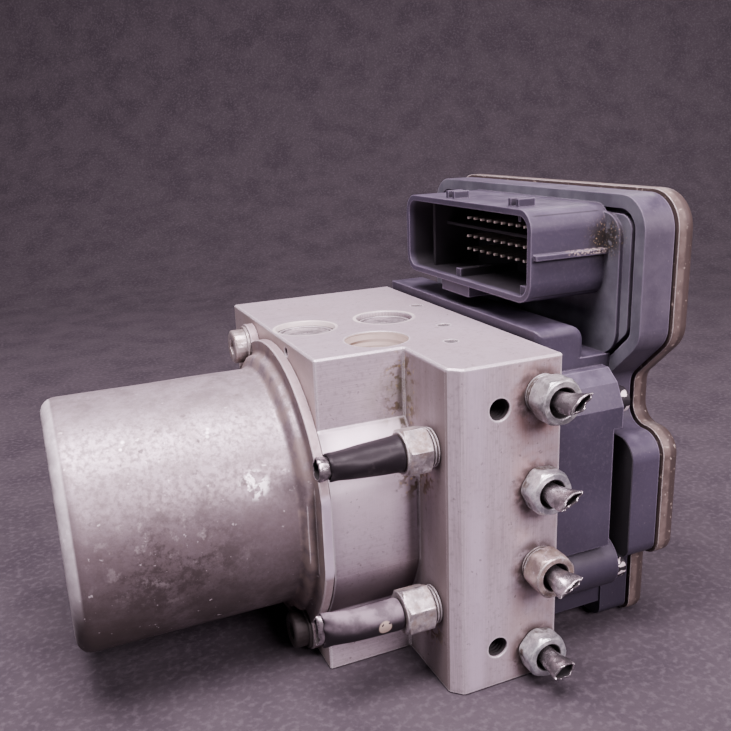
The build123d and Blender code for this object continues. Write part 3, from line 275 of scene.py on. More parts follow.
    def roughen(self, amount, value):
        mix = self.node("ShaderNodeMix", data_type="FLOAT")
        self.feed(mix.inputs[0], amount)
        self.feed(mix.inputs[2], self.rough or self.rough_base)
        mix.inputs[3].default_value = value
        self.rough = mix.outputs[0]

    def dull(self, amount):
        """Takes the surface from metallic to not metallic, by amount."""
        mix = self.node("ShaderNodeMix", data_type="FLOAT")
        self.feed(mix.inputs[0], amount)
        self.feed(mix.inputs[2], self.metal or self.metal_base)
        mix.inputs[3].default_value = 0.0
        self.metal = mix.outputs[0]

    # Lays a dull, rough, non-metallic colour: real grime and stains in some places, painted shade in others.
    def dirt_and_shade(self, amount, color, roughness=0.85):
        self.paint(amount, color)
        self.roughen(amount, roughness)
        self.dull(amount)

    def raise_by(self, value, millimetres):
        """Adds a height in millimetres to the bump."""
        scaled = self.sum("MULTIPLY", value, millimetres)
        self.height = scaled if self.height is None else self.sum("ADD", self.height, scaled)

    def rounded(self, radius):
        bevel = self.node("ShaderNodeBevel", samples=4)
        bevel.inputs["Radius"].default_value = radius * MM
        return bevel.outputs["Normal"]

    def done(self, rounding=0.0, broad=0.0, where=None):
        """Edges rounded by a radius in millimetres, and by a broad one in places."""
        normal = None
        if rounding:
            normal = self.rounded(rounding)
        if broad:
            mix = self.node("ShaderNodeMix", data_type="VECTOR")
            self.feed(mix.inputs[0], where)
            self.link(normal, mix.inputs[4])
            self.link(self.rounded(broad), mix.inputs[5])
            normal = mix.outputs[1]
        if self.height is not None:
            bump = self.node("ShaderNodeBump")
            bump.inputs["Distance"].default_value = MM
            self.link(self.height, bump.inputs["Height"])
            if normal is not None:
                self.link(normal, bump.inputs["Normal"])
            normal = bump.outputs["Normal"]
        if normal is not None:
            self.link(normal, self.shader.inputs["Normal"])
        if self.color is not None:
            self.link(self.color, self.shader.inputs["Base Color"])
        if self.rough is not None:
            self.link(self.rough, self.shader.inputs["Roughness"])
        if self.metal is not None:
            self.link(self.metal, self.shader.inputs["Metallic"])
        return self.material


# Finishes

def milled_block():
    """Aluminium, milled in fine lines, with stains and dust in the corners; painted shade in corners, bores
    and on the step face and bulge; painted highlights on the edges, the bulge and the plug rims.
    """
    f = Finish("milled_block", (0.61, 0.525, 0.58), 0.40, 0.34)
    lines = f.grain(55, 4, (60, 60, 1.2), rough=0.7)
    level = f.grain(55, 4, (1.2, 60, 60), rough=0.7)
    cloud = f.grain(32, 5, rough=0.6)
    fine = f.grain(700, 4, rough=0.7)
    front = f.ramp(f.axis("X"), -0.0038, -0.0036)
    f.paint(f.both(f.ramp(lines, 0.35, 0.7, 0.0, 0.65), front), (0.35, 0.30, 0.33))
    f.paint(f.both(f.ramp(level, 0.35, 0.7, 0.0, 0.6), f.ramp(front, 0.0, 1.0, 1.0, 0.0)), (0.35, 0.30, 0.33))
    f.paint(f.ramp(cloud, 0.46, 0.72, 0.0, 0.5), (0.36, 0.295, 0.315))
    f.paint(f.ramp(f.grain(14, 3, shift=(3, 1, 2)), 0.5, 0.7, 0.0, 0.35), (0.62, 0.54, 0.64))
    f.paint(f.ramp(fine, 0.5, 0.68, 0.0, 0.5), (0.30, 0.26, 0.27))
    port_face = f.ramp(f.facing("Y"), -0.95, -0.7, 1.0, 0.0)
    reddish = f.both(port_face, f.ramp(f.axis("X"), 0.010, 0.020))
    f.paint(f.both(reddish, f.ramp(f.grain(90, 6, rough=0.65), 0.38, 0.62, 0.1, 0.6)), (0.42, 0.30, 0.27))
    f.paint(f.both(port_face, f.within("X", -1, 9, 4), f.ramp(cloud, 0.3, 0.6, 0.2, 0.7)), (0.70, 0.60, 0.72))
    f.roughen(f.ramp(cloud, 0.4, 0.7), 0.48)
    facing_motor = f.ramp(f.facing("X"), -0.95, -0.7, 1.0, 0.0)
    # painted shade on the step face, broken by brown vertical streaks of grime
    step = f.both(facing_motor, f.within("X", -4.6, -2.9, 0.3), f.within("Z", -1, 104.2, 0.6))
    streaks = f.grain(60, 4, (1, 1, 0.10))
    f.dirt_and_shade(f.both(step, f.ramp(streaks, 0.2, 0.62, 0.20, 0.85)), (0.16, 0.125, 0.115), 0.6)
    bulge = f.both(f.within("X", -33.1, -3.9, 0.2), f.ramp(f.axis("Y"), -0.0312, -0.0306, 1.0, 0.0))
    # the bulge painted lighter towards its top and darker towards its bottom: a painted highlight and painted
    # shade
    f.paint(f.both(bulge, f.ramp(f.axis("Z"), 0.040, 0.074, 0.0, 0.9)), (0.92, 0.80, 0.88))
    f.paint(f.both(bulge, f.ramp(f.axis("Z"), 0.026, 0.052, 0.94, 0.0)), (0.09, 0.066, 0.070))
    # painted shade along the bulge's inner corner at the step face, broken up by noise
    fold = f.both(bulge, f.within("X", -5.0, -3.6, 0.8), f.ramp(f.grain(200, 4), 0.3, 0.55))
    f.dirt_and_shade(f.both(fold, 0.8), (0.05, 0.036, 0.026), 0.8)
    shade = f.both(bulge, f.within("X", -9.5, -3.6, 3.0), f.ramp(f.axis("Z"), 0.070, 0.080, 0.75, 0.0))
    f.paint(shade, (0.12, 0.092, 0.095))
    motor_face = f.both(facing_motor, f.within("X", -33.2, -32.2, 0.2))
    f.paint(f.both(motor_face, f.ramp(cloud, 0.3, 0.6, 0.3, 0.7)), (0.40, 0.33, 0.27))
    stain = f.both(f.near((26, -60, 92), 4, 14), f.ramp(f.grain(120, 6, rough=0.65), 0.42, 0.60))
    f.dirt_and_shade(f.both(stain, 0.75), (0.24, 0.12, 0.09), 0.6)
    f.paint(f.both(f.near((27, -60, 70), 3, 14), f.ramp(f.grain(80, 5), 0.45, 0.6), 0.5), (0.50, 0.28, 0.22))
    for z in PORT_Z:
        blot = f.ramp(f.grain(200, 5, shift=(0, 0, z)), 0.36, 0.56)
        ring = f.both(f.near((24.5, PORT_FACE, z), 6.6, 3.6), blot)
        f.dirt_and_shade(f.both(ring, 0.85), (0.075, 0.052, 0.045), 0.8)
    for spot in ((-4, -30.5, 97), (-4, -30.5, 87), (-5, -44, 71), (-5, -46, 19), (-4, -38, 66)):
        crust = f.both(f.near(spot, 2, 9), f.ramp(f.grain(330, 5), 0.50, 0.57))
        f.dirt_and_shade(f.both(crust, 0.9), (0.10, 0.068, 0.018), 0.9)
        crumbs = f.both(f.near(spot, 2, 8), f.ramp(f.grain(700, 3, shift=(4, 2, 0)), 0.62, 0.66))
        f.dirt_and_shade(f.both(crumbs, 0.9), (0.55, 0.42, 0.18), 0.9)
    seam = f.both(
        f.within("X", -6.8, -3.4, 1.2),
        f.within("Y", -33.5, -29.5, 1.2),
        f.within("Z", 70, 104, 6),
    )
    f.dirt_and_shade(f.both(seam, f.ramp(f.grain(260, 5, shift=(1, 1, 1)), 0.28, 0.46)), (0.045, 0.032, 0.018), 0.9)
    green = f.both(f.near((-8, -30.5, 88), 2, 11), f.ramp(f.grain(60, 4), 0.38, 0.6), 0.6)
    f.dirt_and_shade(green, (0.22, 0.215, 0.15), 0.7)
    specks = f.ramp(f.grain(520, 4), 0.66, 0.72)
    f.dirt_and_shade(f.both(specks, 0.6), (0.10, 0.080, 0.075), 0.8)
    # painted shade in corners and gaps
    f.dirt_and_shade(f.both(f.crevice(5), 0.85), (0.065, 0.045, 0.040), 0.8)
    # painted highlight along the outward edges
    f.paint(f.both(f.edge_highlight(1.1), 0.95), (1.0, 0.97, 1.0))
    # painted shade: near-black inside the two tapped holes and one smaller hole
    for z in HOLE_Z:
        f.dirt_and_shade(f.near((HOLE_X, -51.0, z), 8.6, 0.6), (0.012, 0.010, 0.011), 0.9)
    f.dirt_and_shade(f.near((-29.4, -4.1, 101.3), 3.0, 0.3), (0.012, 0.010, 0.011), 0.9)
    cup = f.ramp(f.from_axis((*CUP, 0), (1, 1, 0)), 0.01045, 0.01055, 1.0, 0.0)
    rings = f.ramp(f.grain(60, 2, (0.4, 0.4, 18)), 0.44, 0.54)
    # pale cream painted over the cup's bore wall as a highlight, under brown rust rings
    f.paint(f.both(cup, f.within("Z", 95, 104.9, 0.2), 0.8), (0.85, 0.74, 0.62))
    rust = f.both(cup, f.within("Z", 95, 104.6, 0.2), rings, f.ramp(f.axis("X"), -0.014, 0.0, 1.0, 0.35))
    f.dirt_and_shade(rust, (0.13, 0.08, 0.045), 0.5)
    for x in (PUMP_X, DAMPER[0]):
        away = f.from_axis((x, 9.05, 0), (1, 1, 0))
        # painted highlight on the rims of the two plug bores, brighter on the far side
        lip = f.both(
            f.ramp(away, 0.0099, 0.0100),
            f.ramp(away, 0.0108, 0.0113, 1.0, 0.0),
            f.within("Z", 103.3, 105.2, 0.1),
        )
        f.paint(f.both(lip, f.ramp(f.axis("Y"), 0.004, 0.010, 0.35, 1.0)), (1.0, 0.93, 0.88))
    f.raise_by(lines, 0.05)
    f.raise_by(fine, 0.03)
    return f.done(0.45, 9.0, bulge)


def drawn_can():
    """Deep-drawn steel, warm grey, with painted shade and grime that thicken towards the underside, painted
    highlights on its rounded end and edges, a dent and scratches.
    """
    f = Finish("drawn_can", (0.47, 0.41, 0.45), 0.55, 0.42)
    cloud = f.grain(110, 7, rough=0.75)
    fine = f.grain(650, 5, rough=0.7)
    f.paint(f.ramp(cloud, 0.40, 0.64, 0.0, 0.65), (0.22, 0.188, 0.19))
    f.paint(f.ramp(fine, 0.40, 0.64, 0.0, 0.6), (0.20, 0.172, 0.172))
    f.roughen(f.ramp(fine, 0.4, 0.65), 0.6)
    # painted shade: the can darker on its sides than on its top
    side = f.ramp(f.facing("Z"), 0.15, 0.90, 1.0, 0.0)
    f.paint(f.both(side, f.ramp(f.grain(11, 3), 0.25, 0.65, 0.62, 0.92)), (0.125, 0.094, 0.100))
    smudge = f.both(f.near((-78, -31, 48), 6, 26), f.ramp(f.grain(120, 8, rough=0.8), 0.46, 0.58))
    f.paint(f.both(smudge, 0.8), (0.07, 0.055, 0.055))
    speckle = f.ramp(f.grain(200, 6, rough=0.7, shift=(1, 5, 2)), 0.56, 0.66)
    light = f.both(f.near((-80, -31, 55), 8, 26), speckle)
    f.paint(f.both(light, 0.6), (0.42, 0.37, 0.38))
    # painted shade towards the underside, broken up by grime noise
    low = f.ramp(f.facing("Z"), -0.70, 0.30, 1.0, 0.0)
    grime = f.ramp(f.grain(70, 6, rough=0.65), 0.3, 0.60, 0.45, 0.95)
    f.dirt_and_shade(f.both(low, grime), (0.038, 0.028, 0.027), 0.75)
    f.dirt_and_shade(f.both(f.near((-104, -22, 24), 8, 22), 0.6), (0.045, 0.032, 0.028), 0.8)
    f.dirt_and_shade(f.both(f.ramp(f.grain(260, 4), 0.66, 0.72), 0.5), (0.07, 0.055, 0.05), 0.8)
    f.paint(f.both(f.ramp(f.grain(500, 4, shift=(2, 0, 5)), 0.68, 0.72), 0.6), (0.72, 0.66, 0.68))
    outward = f.ramp(f.facing("X"), -0.9, -0.5)
    skirt = f.both(f.within("X", -41.0, -35.0, 0.8), f.ramp(f.grain(160, 6, rough=0.65), 0.40, 0.60))
    f.dirt_and_shade(f.both(skirt, 0.8), (0.19, 0.145, 0.130))
    # painted shade in corners and gaps
    f.dirt_and_shade(f.both(f.crevice(5, 0.35, 0.95), 0.85), (0.050, 0.036, 0.030), 0.8)
    rim = f.both(f.within("X", -36.0, -32.4, 0.2), outward)
    f.paint(f.both(rim, f.ramp(fine, 0.35, 0.6, 0.95, 0.75)), (0.40, 0.32, 0.33))
    f.paint(f.both(rim, f.ramp(f.axis("Y"), -0.0389, -0.0383, 0.9, 0.0)), (0.66, 0.57, 0.70))
    # the rounded outer end made pale where it faces up: wear and a painted highlight
    end = f.both(f.within("X", -108.2, -104.2, 0.9), f.ramp(f.facing("Z"), -0.4, 0.2))
    f.paint(f.both(end, f.ramp(f.grain(180, 4), 0.3, 0.7, 0.95, 0.55)), (0.95, 0.90, 0.94))
    scar = f.both(f.near((-52.4, -27.8, 69.0), 2.8, 2.6), f.ramp(f.grain(260, 5), 0.47, 0.53))
    f.paint(f.both(scar, 0.95), (1.0, 0.97, 1.0))
    rubbed = f.ramp(f.grain(300, 5, shift=(7, 0, 0)), 0.55, 0.60)
    scuff = f.both(f.near((-52.4, -27.8, 71.0), 3.5, 3.0), rubbed)
    f.paint(f.both(scuff, 0.7), (0.10, 0.08, 0.08))
    nicks = ((-62.3, -15.4, 84.4), (-62.6, -16.4, 83.6), (-62.9, -17.4, 82.7))
    nicks += ((-87, -15, 84.7), (-88, -17, 83.4))
    for spot in nicks:
        f.paint(f.both(f.near(spot, 0.25, 0.5), 0.8), (0.95, 0.90, 0.93))
    # painted highlight along the outward edges
    f.paint(f.both(f.edge_highlight(0.6), 0.8), (0.95, 0.90, 0.93))
    f.raise_by(fine, 0.05)
    f.raise_by(cloud, 0.05)
    return f.done(0.3)


def zinc(name, color, grime, grime_color=(0.10, 0.08, 0.07), axis=None):
    """Plated steel; axis is a spot on the line round which a nut's recess is darkened with painted shade."""
    f = Finish(name, tuple(min(1.0, c * 1.15) for c in color), 0.82, 0.28)
    f.roughen(f.ramp(f.grain(300, 4), 0.35, 0.7), 0.46)
    tarnish = tuple(c * 0.45 for c in color)
    f.paint(f.ramp(f.grain(170, 7, rough=0.75), 0.40, 0.58, 0.0, 0.8), tarnish)
    f.paint(f.ramp(f.grain(420, 5, rough=0.7, shift=(2, 2, 2)), 0.56, 0.64, 0.0, 0.7), (0.88, 0.86, 0.90))
    f.dirt_and_shade(f.ramp(f.grain(240, 6, rough=0.65), 0.58 - grime * 0.24, 0.66, 0.0, grime), grime_color)
    # painted shade in corners and gaps
    f.dirt_and_shade(f.both(f.crevice(1.6, 0.45, 0.95), 0.95), (0.040, 0.030, 0.026), 0.8)
    # painted highlight along the outward edges
    f.paint(f.both(f.edge_highlight(0.35), 0.85), (1.0, 0.98, 1.0))
    if axis:
        # painted shade inside the nut's bore
        recess = f.ramp(f.from_axis(axis, (1, 0, 1)), 4.4 * MM, 4.8 * MM, 0.95, 0.0)
        f.dirt_and_shade(recess, (0.02, 0.017, 0.017), 0.8)
        foot = f.both(f.within("Y", -64.5, -60.0, 1.5), f.ramp(f.grain(260, 4), 0.35, 0.6))
        f.dirt_and_shade(foot, (0.07, 0.055, 0.045))
    f.raise_by(f.grain(500, 3), 0.05)
    return f.done(0.25)


def bare_steel(name, color, roughness):
    f = Finish(name, color, 0.85, roughness)
    f.paint(f.ramp(f.grain(210, 5, rough=0.7), 0.42, 0.60, 0.0, 0.85), tuple(c * 0.25 for c in color))
    f.roughen(f.ramp(f.grain(420, 3), 0.4, 0.7), min(1.0, roughness + 0.2))
    # painted highlight along the outward edges
    f.paint(f.both(f.edge_highlight(0.3), 0.85), (0.95, 0.92, 0.95))
    f.raise_by(f.grain(380, 3), 0.08)
    return f.done(0.15)


def rubber():
    """Black sleeves with dust, and a pale chip on the lower one; its upward side is painted lighter, partly
    as dust and partly as a painted top light.
    """
    f = Finish("black_sleeve", (0.018, 0.015, 0.018), 0.0, 0.40)
    f.shader.inputs["Specular IOR Level"].default_value = 0.16
    f.dirt_and_shade(f.ramp(f.grain(300, 6, rough=0.65), 0.58, 0.70, 0.0, 0.3), (0.09, 0.075, 0.08), 0.8)
    # dust and a painted top light: the lower sleeve lighter where it faces up
    lower = f.within("Z", 5, 45, 1)
    dust = f.both(f.ramp(f.facing("Z"), -0.1, 0.8), f.ramp(f.grain(200, 6), 0.35, 0.62, 0.4, 1.0), 0.9)
    f.dirt_and_shade(f.both(lower, dust), (0.27, 0.225, 0.26), 0.6)
    chip = f.both(f.near((-22.6, -52.3, 26.4), 1.8, 0.5), f.ramp(f.grain(340, 3), 0.36, 0.40))
    f.dirt_and_shade(chip, (0.42, 0.34, 0.28), 0.8)
    f.raise_by(f.grain(320, 4), 0.10)
    return f.done(0.2)


def moulded_plastic():
    """Dark blue-grey moulded plastic with a fine grain, settled dust, painted shade in its hollows, socket,
    slot and lower part, painted highlights on its edges, and sand in a corner.
    """
    f = Finish("moulded_plastic", (0.040, 0.034, 0.054), 0.0, 0.42)
    f.shader.inputs["Specular IOR Level"].default_value = 0.42
    f.paint(f.ramp(f.grain(24, 5), 0.4, 0.66, 0.0, 0.8), (0.062, 0.053, 0.082))
    f.paint(f.ramp(f.grain(900, 4, rough=0.7), 0.50, 0.66, 0.0, 0.4), (0.080, 0.069, 0.095))
    f.roughen(f.ramp(f.grain(90, 4), 0.4, 0.7), 0.56)
    up = f.ramp(f.facing("Z"), 0.3, 0.95)
    f.dirt_and_shade(f.both(up, f.ramp(f.grain(150, 5), 0.35, 0.7, 0.0, 0.26)), (0.22, 0.195, 0.27))
    # painted shade in corners and gaps
    f.dirt_and_shade(f.both(f.crevice(9, 0.2, 0.85), 0.85), (0.010, 0.008, 0.012), 0.7)
    front = f.both(f.ramp(f.facing("X"), -0.95, -0.6, 1.0, 0.0), f.within("X", 59.0, 62.5, 0.5))
    f.dirt_and_shade(f.both(front, f.ramp(f.grain(110, 5), 0.35, 0.7, 0.3, 0.65)), (0.19, 0.20, 0.225), 0.6)
    flank = f.both(
        f.within("X", 61.2, 74.0, 0.5),
        f.ramp(f.facing("Y"), -0.95, -0.6, 1.0, 0.0),
        f.within("Z", 70, 150, 12),
    )
    film = f.ramp(f.grain(130, 5, shift=(3, 1, 4)), 0.3, 0.7, 0.25, 0.6)
    f.dirt_and_shade(f.both(flank, film), (0.13, 0.115, 0.145), 0.5)
    # painted highlight along the outward edges
    f.paint(f.both(f.edge_highlight(0.7), 0.6), (0.34, 0.30, 0.40))
    # painted shade: darker towards the bottom
    f.paint(f.ramp(f.axis("Z"), 0.015, 0.055, 0.6, 0.0), (0.014, 0.012, 0.019))
    # painted shade inside the connector socket
    hollow = f.both(
        f.within("X", 33.4, 59.8, 2.5),
        f.within("Y", -41.6, 38.8, 0.5),
        f.within("Z", 117.0, 142.4, 0.4),
    )
    f.dirt_and_shade(f.both(hollow, 0.92), (0.008, 0.007, 0.009), 0.8)
    # painted shade in the narrow recess at the plate's front face
    slot = f.both(
        f.within("X", 60.6, 61.8, 0.1),
        f.within("Y", -59.3, -44.0, 0.4),
        f.within("Z", 30.0, 72.0, 1.0),
    )
    f.dirt_and_shade(f.both(slot, 0.95), (0.006, 0.005, 0.007), 0.9)
    corner = f.near((59.2, -45.0, 134), 2.0, 6.5)
    f.dirt_and_shade(f.both(corner, f.ramp(f.grain(420, 4), 0.34, 0.48), 0.95), (0.012, 0.009, 0.006), 0.95)
    f.dirt_and_shade(f.both(corner, f.ramp(f.grain(1500, 4), 0.61, 0.66)), (0.34, 0.25, 0.15), 0.95)
    rib = f.both(f.within("X", 44, 60, 3), f.within("Z", 129.4, 131.2, 0.5), f.within("Y", -46, -42.6, 0.2))
    f.dirt_and_shade(f.both(rib, f.ramp(f.grain(1200, 3), 0.50, 0.58)), (0.42, 0.35, 0.31), 0.95)
    flecks = f.both(f.within("X", 61.2, 73.2, 0.2), f.ramp(f.grain(1100, 3), 0.70, 0.74), 0.6)
    f.dirt_and_shade(flecks, (0.30, 0.26, 0.28), 0.9)
    f.raise_by(f.grain(900, 2), 0.04)
    return f.done(0.5)


def bronze_cover():
    """Brownish cover with a pale front lip and pale specks along its rim."""
    f = Finish("bronze_cover", (0.085, 0.062, 0.056), 0.25, 0.5)
    f.paint(f.ramp(f.grain(40, 4), 0.4, 0.7, 0.0, 0.6), (0.055, 0.040, 0.036))
    lip = f.both(f.within("X", 72.8, 76.4, 1.0), f.ramp(f.grain(260, 5), 0.35, 0.6, 0.35, 0.95))
    f.paint(lip, (0.20, 0.155, 0.135))
    f.dirt_and_shade(f.ramp(f.grain(650, 4), 0.62, 0.68, 0.0, 0.7), (0.46, 0.39, 0.33))
    # painted highlight along the lip's edges
    f.paint(f.both(f.edge_highlight(0.5), f.within("X", 72.5, 76.0, 0.5), 0.95), (0.95, 0.88, 0.84))
    f.raise_by(f.grain(500, 3), 0.04)
    return f.done(0.4)


def pin_metal():
    """Pale tin on the tips of the pins, with painted shade darkening them behind the tips."""
    f = Finish("pin_metal", (0.95, 0.88, 0.78), 0.2, 0.35)
    f.paint(f.ramp(f.grain(400, 3), 0.4, 0.68, 0.0, 0.7), (0.62, 0.54, 0.44))
    # painted shade on the pins behind their tips, deep in the socket
    f.dirt_and_shade(f.ramp(f.axis("X"), 0.0436, 0.0446, 0.0, 0.93), (0.020, 0.016, 0.012), 0.6)
    f.raise_by(f.grain(600, 3), 0.02)
    return f.done(0.1)


def screw_ends():
    """Dark controller screws whose ends are broken up by bright scratches."""
    f = Finish("dark_screws", (0.020, 0.017, 0.021), 0.3, 0.5)
    f.paint(f.ramp(f.grain(330, 4, (1, 1, 1.6)), 0.53, 0.56), (0.90, 0.80, 0.82))
    f.raise_by(f.grain(300, 4), 0.3)
    return f.done(0.2)


def can_screw():
    """Zinc plated motor screws; the lower one is darkened by painted shade."""
    f = Finish("can_screw", (0.50, 0.45, 0.44), 0.55, 0.30)
    f.paint(f.ramp(f.grain(220, 6, rough=0.7), 0.42, 0.62, 0.0, 0.75), (0.22, 0.17, 0.14))
    # painted shade in corners and gaps
    f.dirt_and_shade(f.both(f.crevice(3.5, 0.3, 0.95), 0.9), (0.05, 0.037, 0.03), 0.8)
    # painted highlight along the outward edges
    f.paint(f.both(f.edge_highlight(0.4), 0.9), (1.0, 0.95, 0.95))
    # painted shade on the lower screw, under the can
    f.dirt_and_shade(f.ramp(f.axis("Z"), 0.02, 0.05, 0.9, 0.0), (0.022, 0.017, 0.017), 0.6)
    f.raise_by(f.grain(420, 3), 0.10)
    return f.done(0.2)


def plain_finish(name, color, metallic, roughness, fleck, fleck_scale=200):
    f = Finish(name, color, metallic, roughness)
    f.paint(f.ramp(f.grain(fleck_scale, 4), 0.4, 0.68, 0.0, 0.7), fleck)
    f.roughen(f.ramp(f.grain(fleck_scale * 2, 3), 0.4, 0.7), min(1.0, roughness + 0.2))
    f.raise_by(f.grain(fleck_scale * 2, 3), 0.03)
    return f.done(0.2)


def dress(material, *names):
    for name in names:
        mesh = nodes[name].data
        mesh.materials.clear()
        mesh.materials.append(material)


def dress_all():
    steel = bare_steel("ground_steel", (0.52, 0.52, 0.53), 0.28)
    wire = bare_steel("spring_wire", (0.30, 0.30, 0.32), 0.32)
    cut_pipe = bare_steel("cut_pipe", (0.42, 0.38, 0.40), 0.22)
    plastic = moulded_plastic()
    can = drawn_can()
    sleeve = rubber()
    plain_zinc = zinc("zinc_plain", (0.55, 0.50, 0.49), 0.45)
    closure_zinc = zinc("zinc_closure", (0.60, 0.54, 0.58), 0.4)
    side_zinc = zinc("zinc_side", (0.62, 0.58, 0.58), 0.7, (0.17, 0.105, 0.065))
    port_nuts = (
        zinc("zinc_green", (0.50, 0.51, 0.51), 0.6, axis=(PORT_X, 0, PORT_Z[0])),
        zinc("zinc_white", (0.86, 0.90, 1.0), 0.25, axis=(PORT_X, 0, PORT_Z[1])),
        zinc("zinc_beige", (0.50, 0.42, 0.38), 0.75, (0.15, 0.10, 0.07), (PORT_X, 0, PORT_Z[2])),
        zinc("zinc_blue", (0.85, 0.96, 1.0), 0.2, axis=(PORT_X, 0, PORT_Z[3])),
    )
    # near-black painted shade for the insides of pipes, sleeves and tapped holes
    black = plain_finish("painted_shade_inside", (0.012, 0.011, 0.012), 0.0, 0.8, (0.03, 0.026, 0.024))
    dress(milled_block(), "hydraulic_block", "accumulator_piston_front", "accumulator_piston_back")
    dress(can, "motor_can", "damper_cup")
    bolt = can_screw()
    dress(bolt, "motor_screws")
    dress(plain_zinc, "damper_plug")
    dress(screw_ends(), "ecu_screws")
    dress(closure_zinc, "pump_closures", "accumulator_caps")
    for number, finish in enumerate(port_nuts):
        dress(finish, f"port_nut_{number + 1}")
    dress(side_zinc, "inlet_nut_1", "inlet_nut_2")
    dress(cut_pipe, *[f"pipe_stub_{n}" for n in (1, 2, 3, 4)], "inlet_pipe_1", "inlet_pipe_2")
    dress(sleeve, "inlet_sleeve_1", "inlet_sleeve_2", "ecu_seal")
    dress(plastic, "ecu_housing", "brush_plate", "solenoid_coils", "motor_contact")
    dress(bronze_cover(), "ecu_cover")
    dress(
        steel,
        "rear_bearing",
        "front_bearing",
        "shaft_end_bearing",
        "pump_sleeves",
        "ball_plugs",
        "solenoid_valves",
        "pressure_sensor",
        "rotor_shaft",
        "armature_core",
        "cam_ring",
        "cam_needles",
        "pump_piston_upper",
        "pump_piston_lower",
        "plungers_inlet",
        "plungers_outlet",
        "plungers_switching",
        "plungers_suction",
    )
    dress(
        wire,
        "pump_spring_upper",
        "pump_spring_lower",
        "accumulator_spring_front",
        "accumulator_spring_back",
        "brush_spring_upper",
        "brush_spring_lower",
    )
    dress(pin_metal(), "connector_pins")
    dress(
        plain_finish("winding_copper", (0.55, 0.24, 0.11), 0.8, 0.38, (0.34, 0.13, 0.06), 320),
        "armature_windings",
        "commutator",
    )
    dress(plain_finish("pressed_carbon", (0.04, 0.04, 0.042), 0.0, 0.6, (0.08, 0.08, 0.08)), "brush_upper")
    dress(plain_finish("brush_carbon", (0.04, 0.04, 0.042), 0.0, 0.6, (0.08, 0.08, 0.08)), "brush_lower")
    dress(plain_finish("ferrite", (0.07, 0.07, 0.075), 0.1, 0.6, (0.11, 0.11, 0.12)), "motor_magnets")
    laminate = plain_finish("green_laminate", (0.03, 0.15, 0.07), 0.0, 0.4, (0.02, 0.10, 0.05), 60)
    dress(laminate, "circuit_board")
    return {
        "can": can,
        "bolt": bolt,
        "cap": plain_zinc,
        "closure": closure_zinc,
        "nuts": (*port_nuts, side_zinc, side_zinc),
        "black": black,
        "pipe": cut_pipe,
        "sleeve": sleeve,
        "wire": wire,
    }


# Shapes that are modelled in millimetres and set in place at the end

def add_piece(shape, name, material, place=None, body="unit", sharp=32.0):
    """Sets a shape in its place, in metres, and makes it ride on a body."""
    if place is not None:
        bmesh.ops.transform(shape, matrix=place, verts=shape.verts)
    bmesh.ops.scale(shape, vec=(MM, MM, MM), verts=shape.verts)
    bmesh.ops.remove_doubles(shape, verts=shape.verts, dist=0.000002)
    bmesh.ops.recalc_face_normals(shape, faces=shape.faces)
    mesh = bpy.data.meshes.new(name)
    shape.to_mesh(mesh)
    shape.free()
    mesh.shade_smooth()
    mesh.set_sharp_from_angle(angle=radians(sharp))
    mesh.materials.append(material)
    piece = bpy.data.objects.new(name, mesh)
    bpy.context.scene.collection.objects.link(piece)
    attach(piece, body)
    return piece


def turned(profile, steps):
    """A closed or open outline of (along, radius) points turned about the local Z axis."""
    shape = bmesh.new()
    points = [shape.verts.new((radius, 0, along)) for along, radius in profile]
    lines = [shape.edges.new(pair) for pair in zip(points, points[1:])]
    bmesh.ops.spin(
        shape,
        geom=points + lines,
        cent=(0, 0, 0),
        axis=(0, 0, 1),
        angle=2 * pi,
        steps=steps,
        use_merge=True,
    )
    bmesh.ops.remove_doubles(shape, verts=shape.verts, dist=0.001)
    return shape


def cut_flats(shape, flats, low, high, turn, widest=99.0):
    """Between two heights, brings what stands outside a hexagon, given across flats, in to its sides."""
    for vert in shape.verts:
        if low - 0.001 <= vert.co.z <= high + 0.001:
            radius = vert.co.xy.length
            if 0.001 < radius < widest:
                angle = (vert.co.xy.angle_signed(Vector((1, 0))) + turn) % (2 * pi / 6)
                reach = flats / 2 / cos(angle - pi / 6)
                if radius > reach:
                    vert.co.x *= reach / radius
                    vert.co.y *= reach / radius


def towards_port(x, z, y):
    """Local Z points out of the port face, towards -Y."""
    return Matrix.Translation((x, y, z)) @ Matrix.Rotation(radians(90), 4, "X")


def towards_motor(y, z, x):
    """Local Z points away from the controller, towards -X."""
    return Matrix.Translation((x, y, z)) @ Matrix.Rotation(radians(-90), 4, "Y")


def upwards(x, y, z):
    return Matrix.Translation((x, y, z))


# Pipe nuts

def nut_shape(thread, hexagon, bore, bore_depth, turn, corner=7.15):
    """A pipe nut from its inner end to its outer face: plain end, thread, chamfered hexagon, ring, bore."""
    inside = 11.0
    pitch = 1.0
    profile = [(-inside, 3.1), (-inside, 5.3), (-0.02, 5.3), (-0.02, 5.5)]
    height = 0.0
    while height < thread - 0.05:
        profile += [(height, 5.35), (height + 0.35, 5.95), (height + 0.65, 5.95)]
        height += pitch
    base = thread
    top = thread + hexagon
    profile += [(base, 6.35), (base + 0.25, 6.9), (base + 0.5, corner - 0.15), (base + 0.65, corner)]
    profile += [(base + 0.65 + (hexagon - 1.8) * part / 5, corner + 0.005) for part in range(1, 6)]
    profile += [(top - 0.85, corner - 0.2), (top - 0.6, 6.85), (top - 0.42, 6.62), (top - 0.3, 6.42)]
    profile += [(top - 0.12, 6.38), (top, 6.2), (top, bore + 0.5), (top - 0.35, bore + 0.08)]
    profile += [(top - 0.8, bore), (top - bore_depth, bore), (top - bore_depth, 3.1), (-inside, 3.1)]
    shape = turned(profile, 96)
    cut_flats(shape, NUT_FLATS, base, top, turn)
    return shape


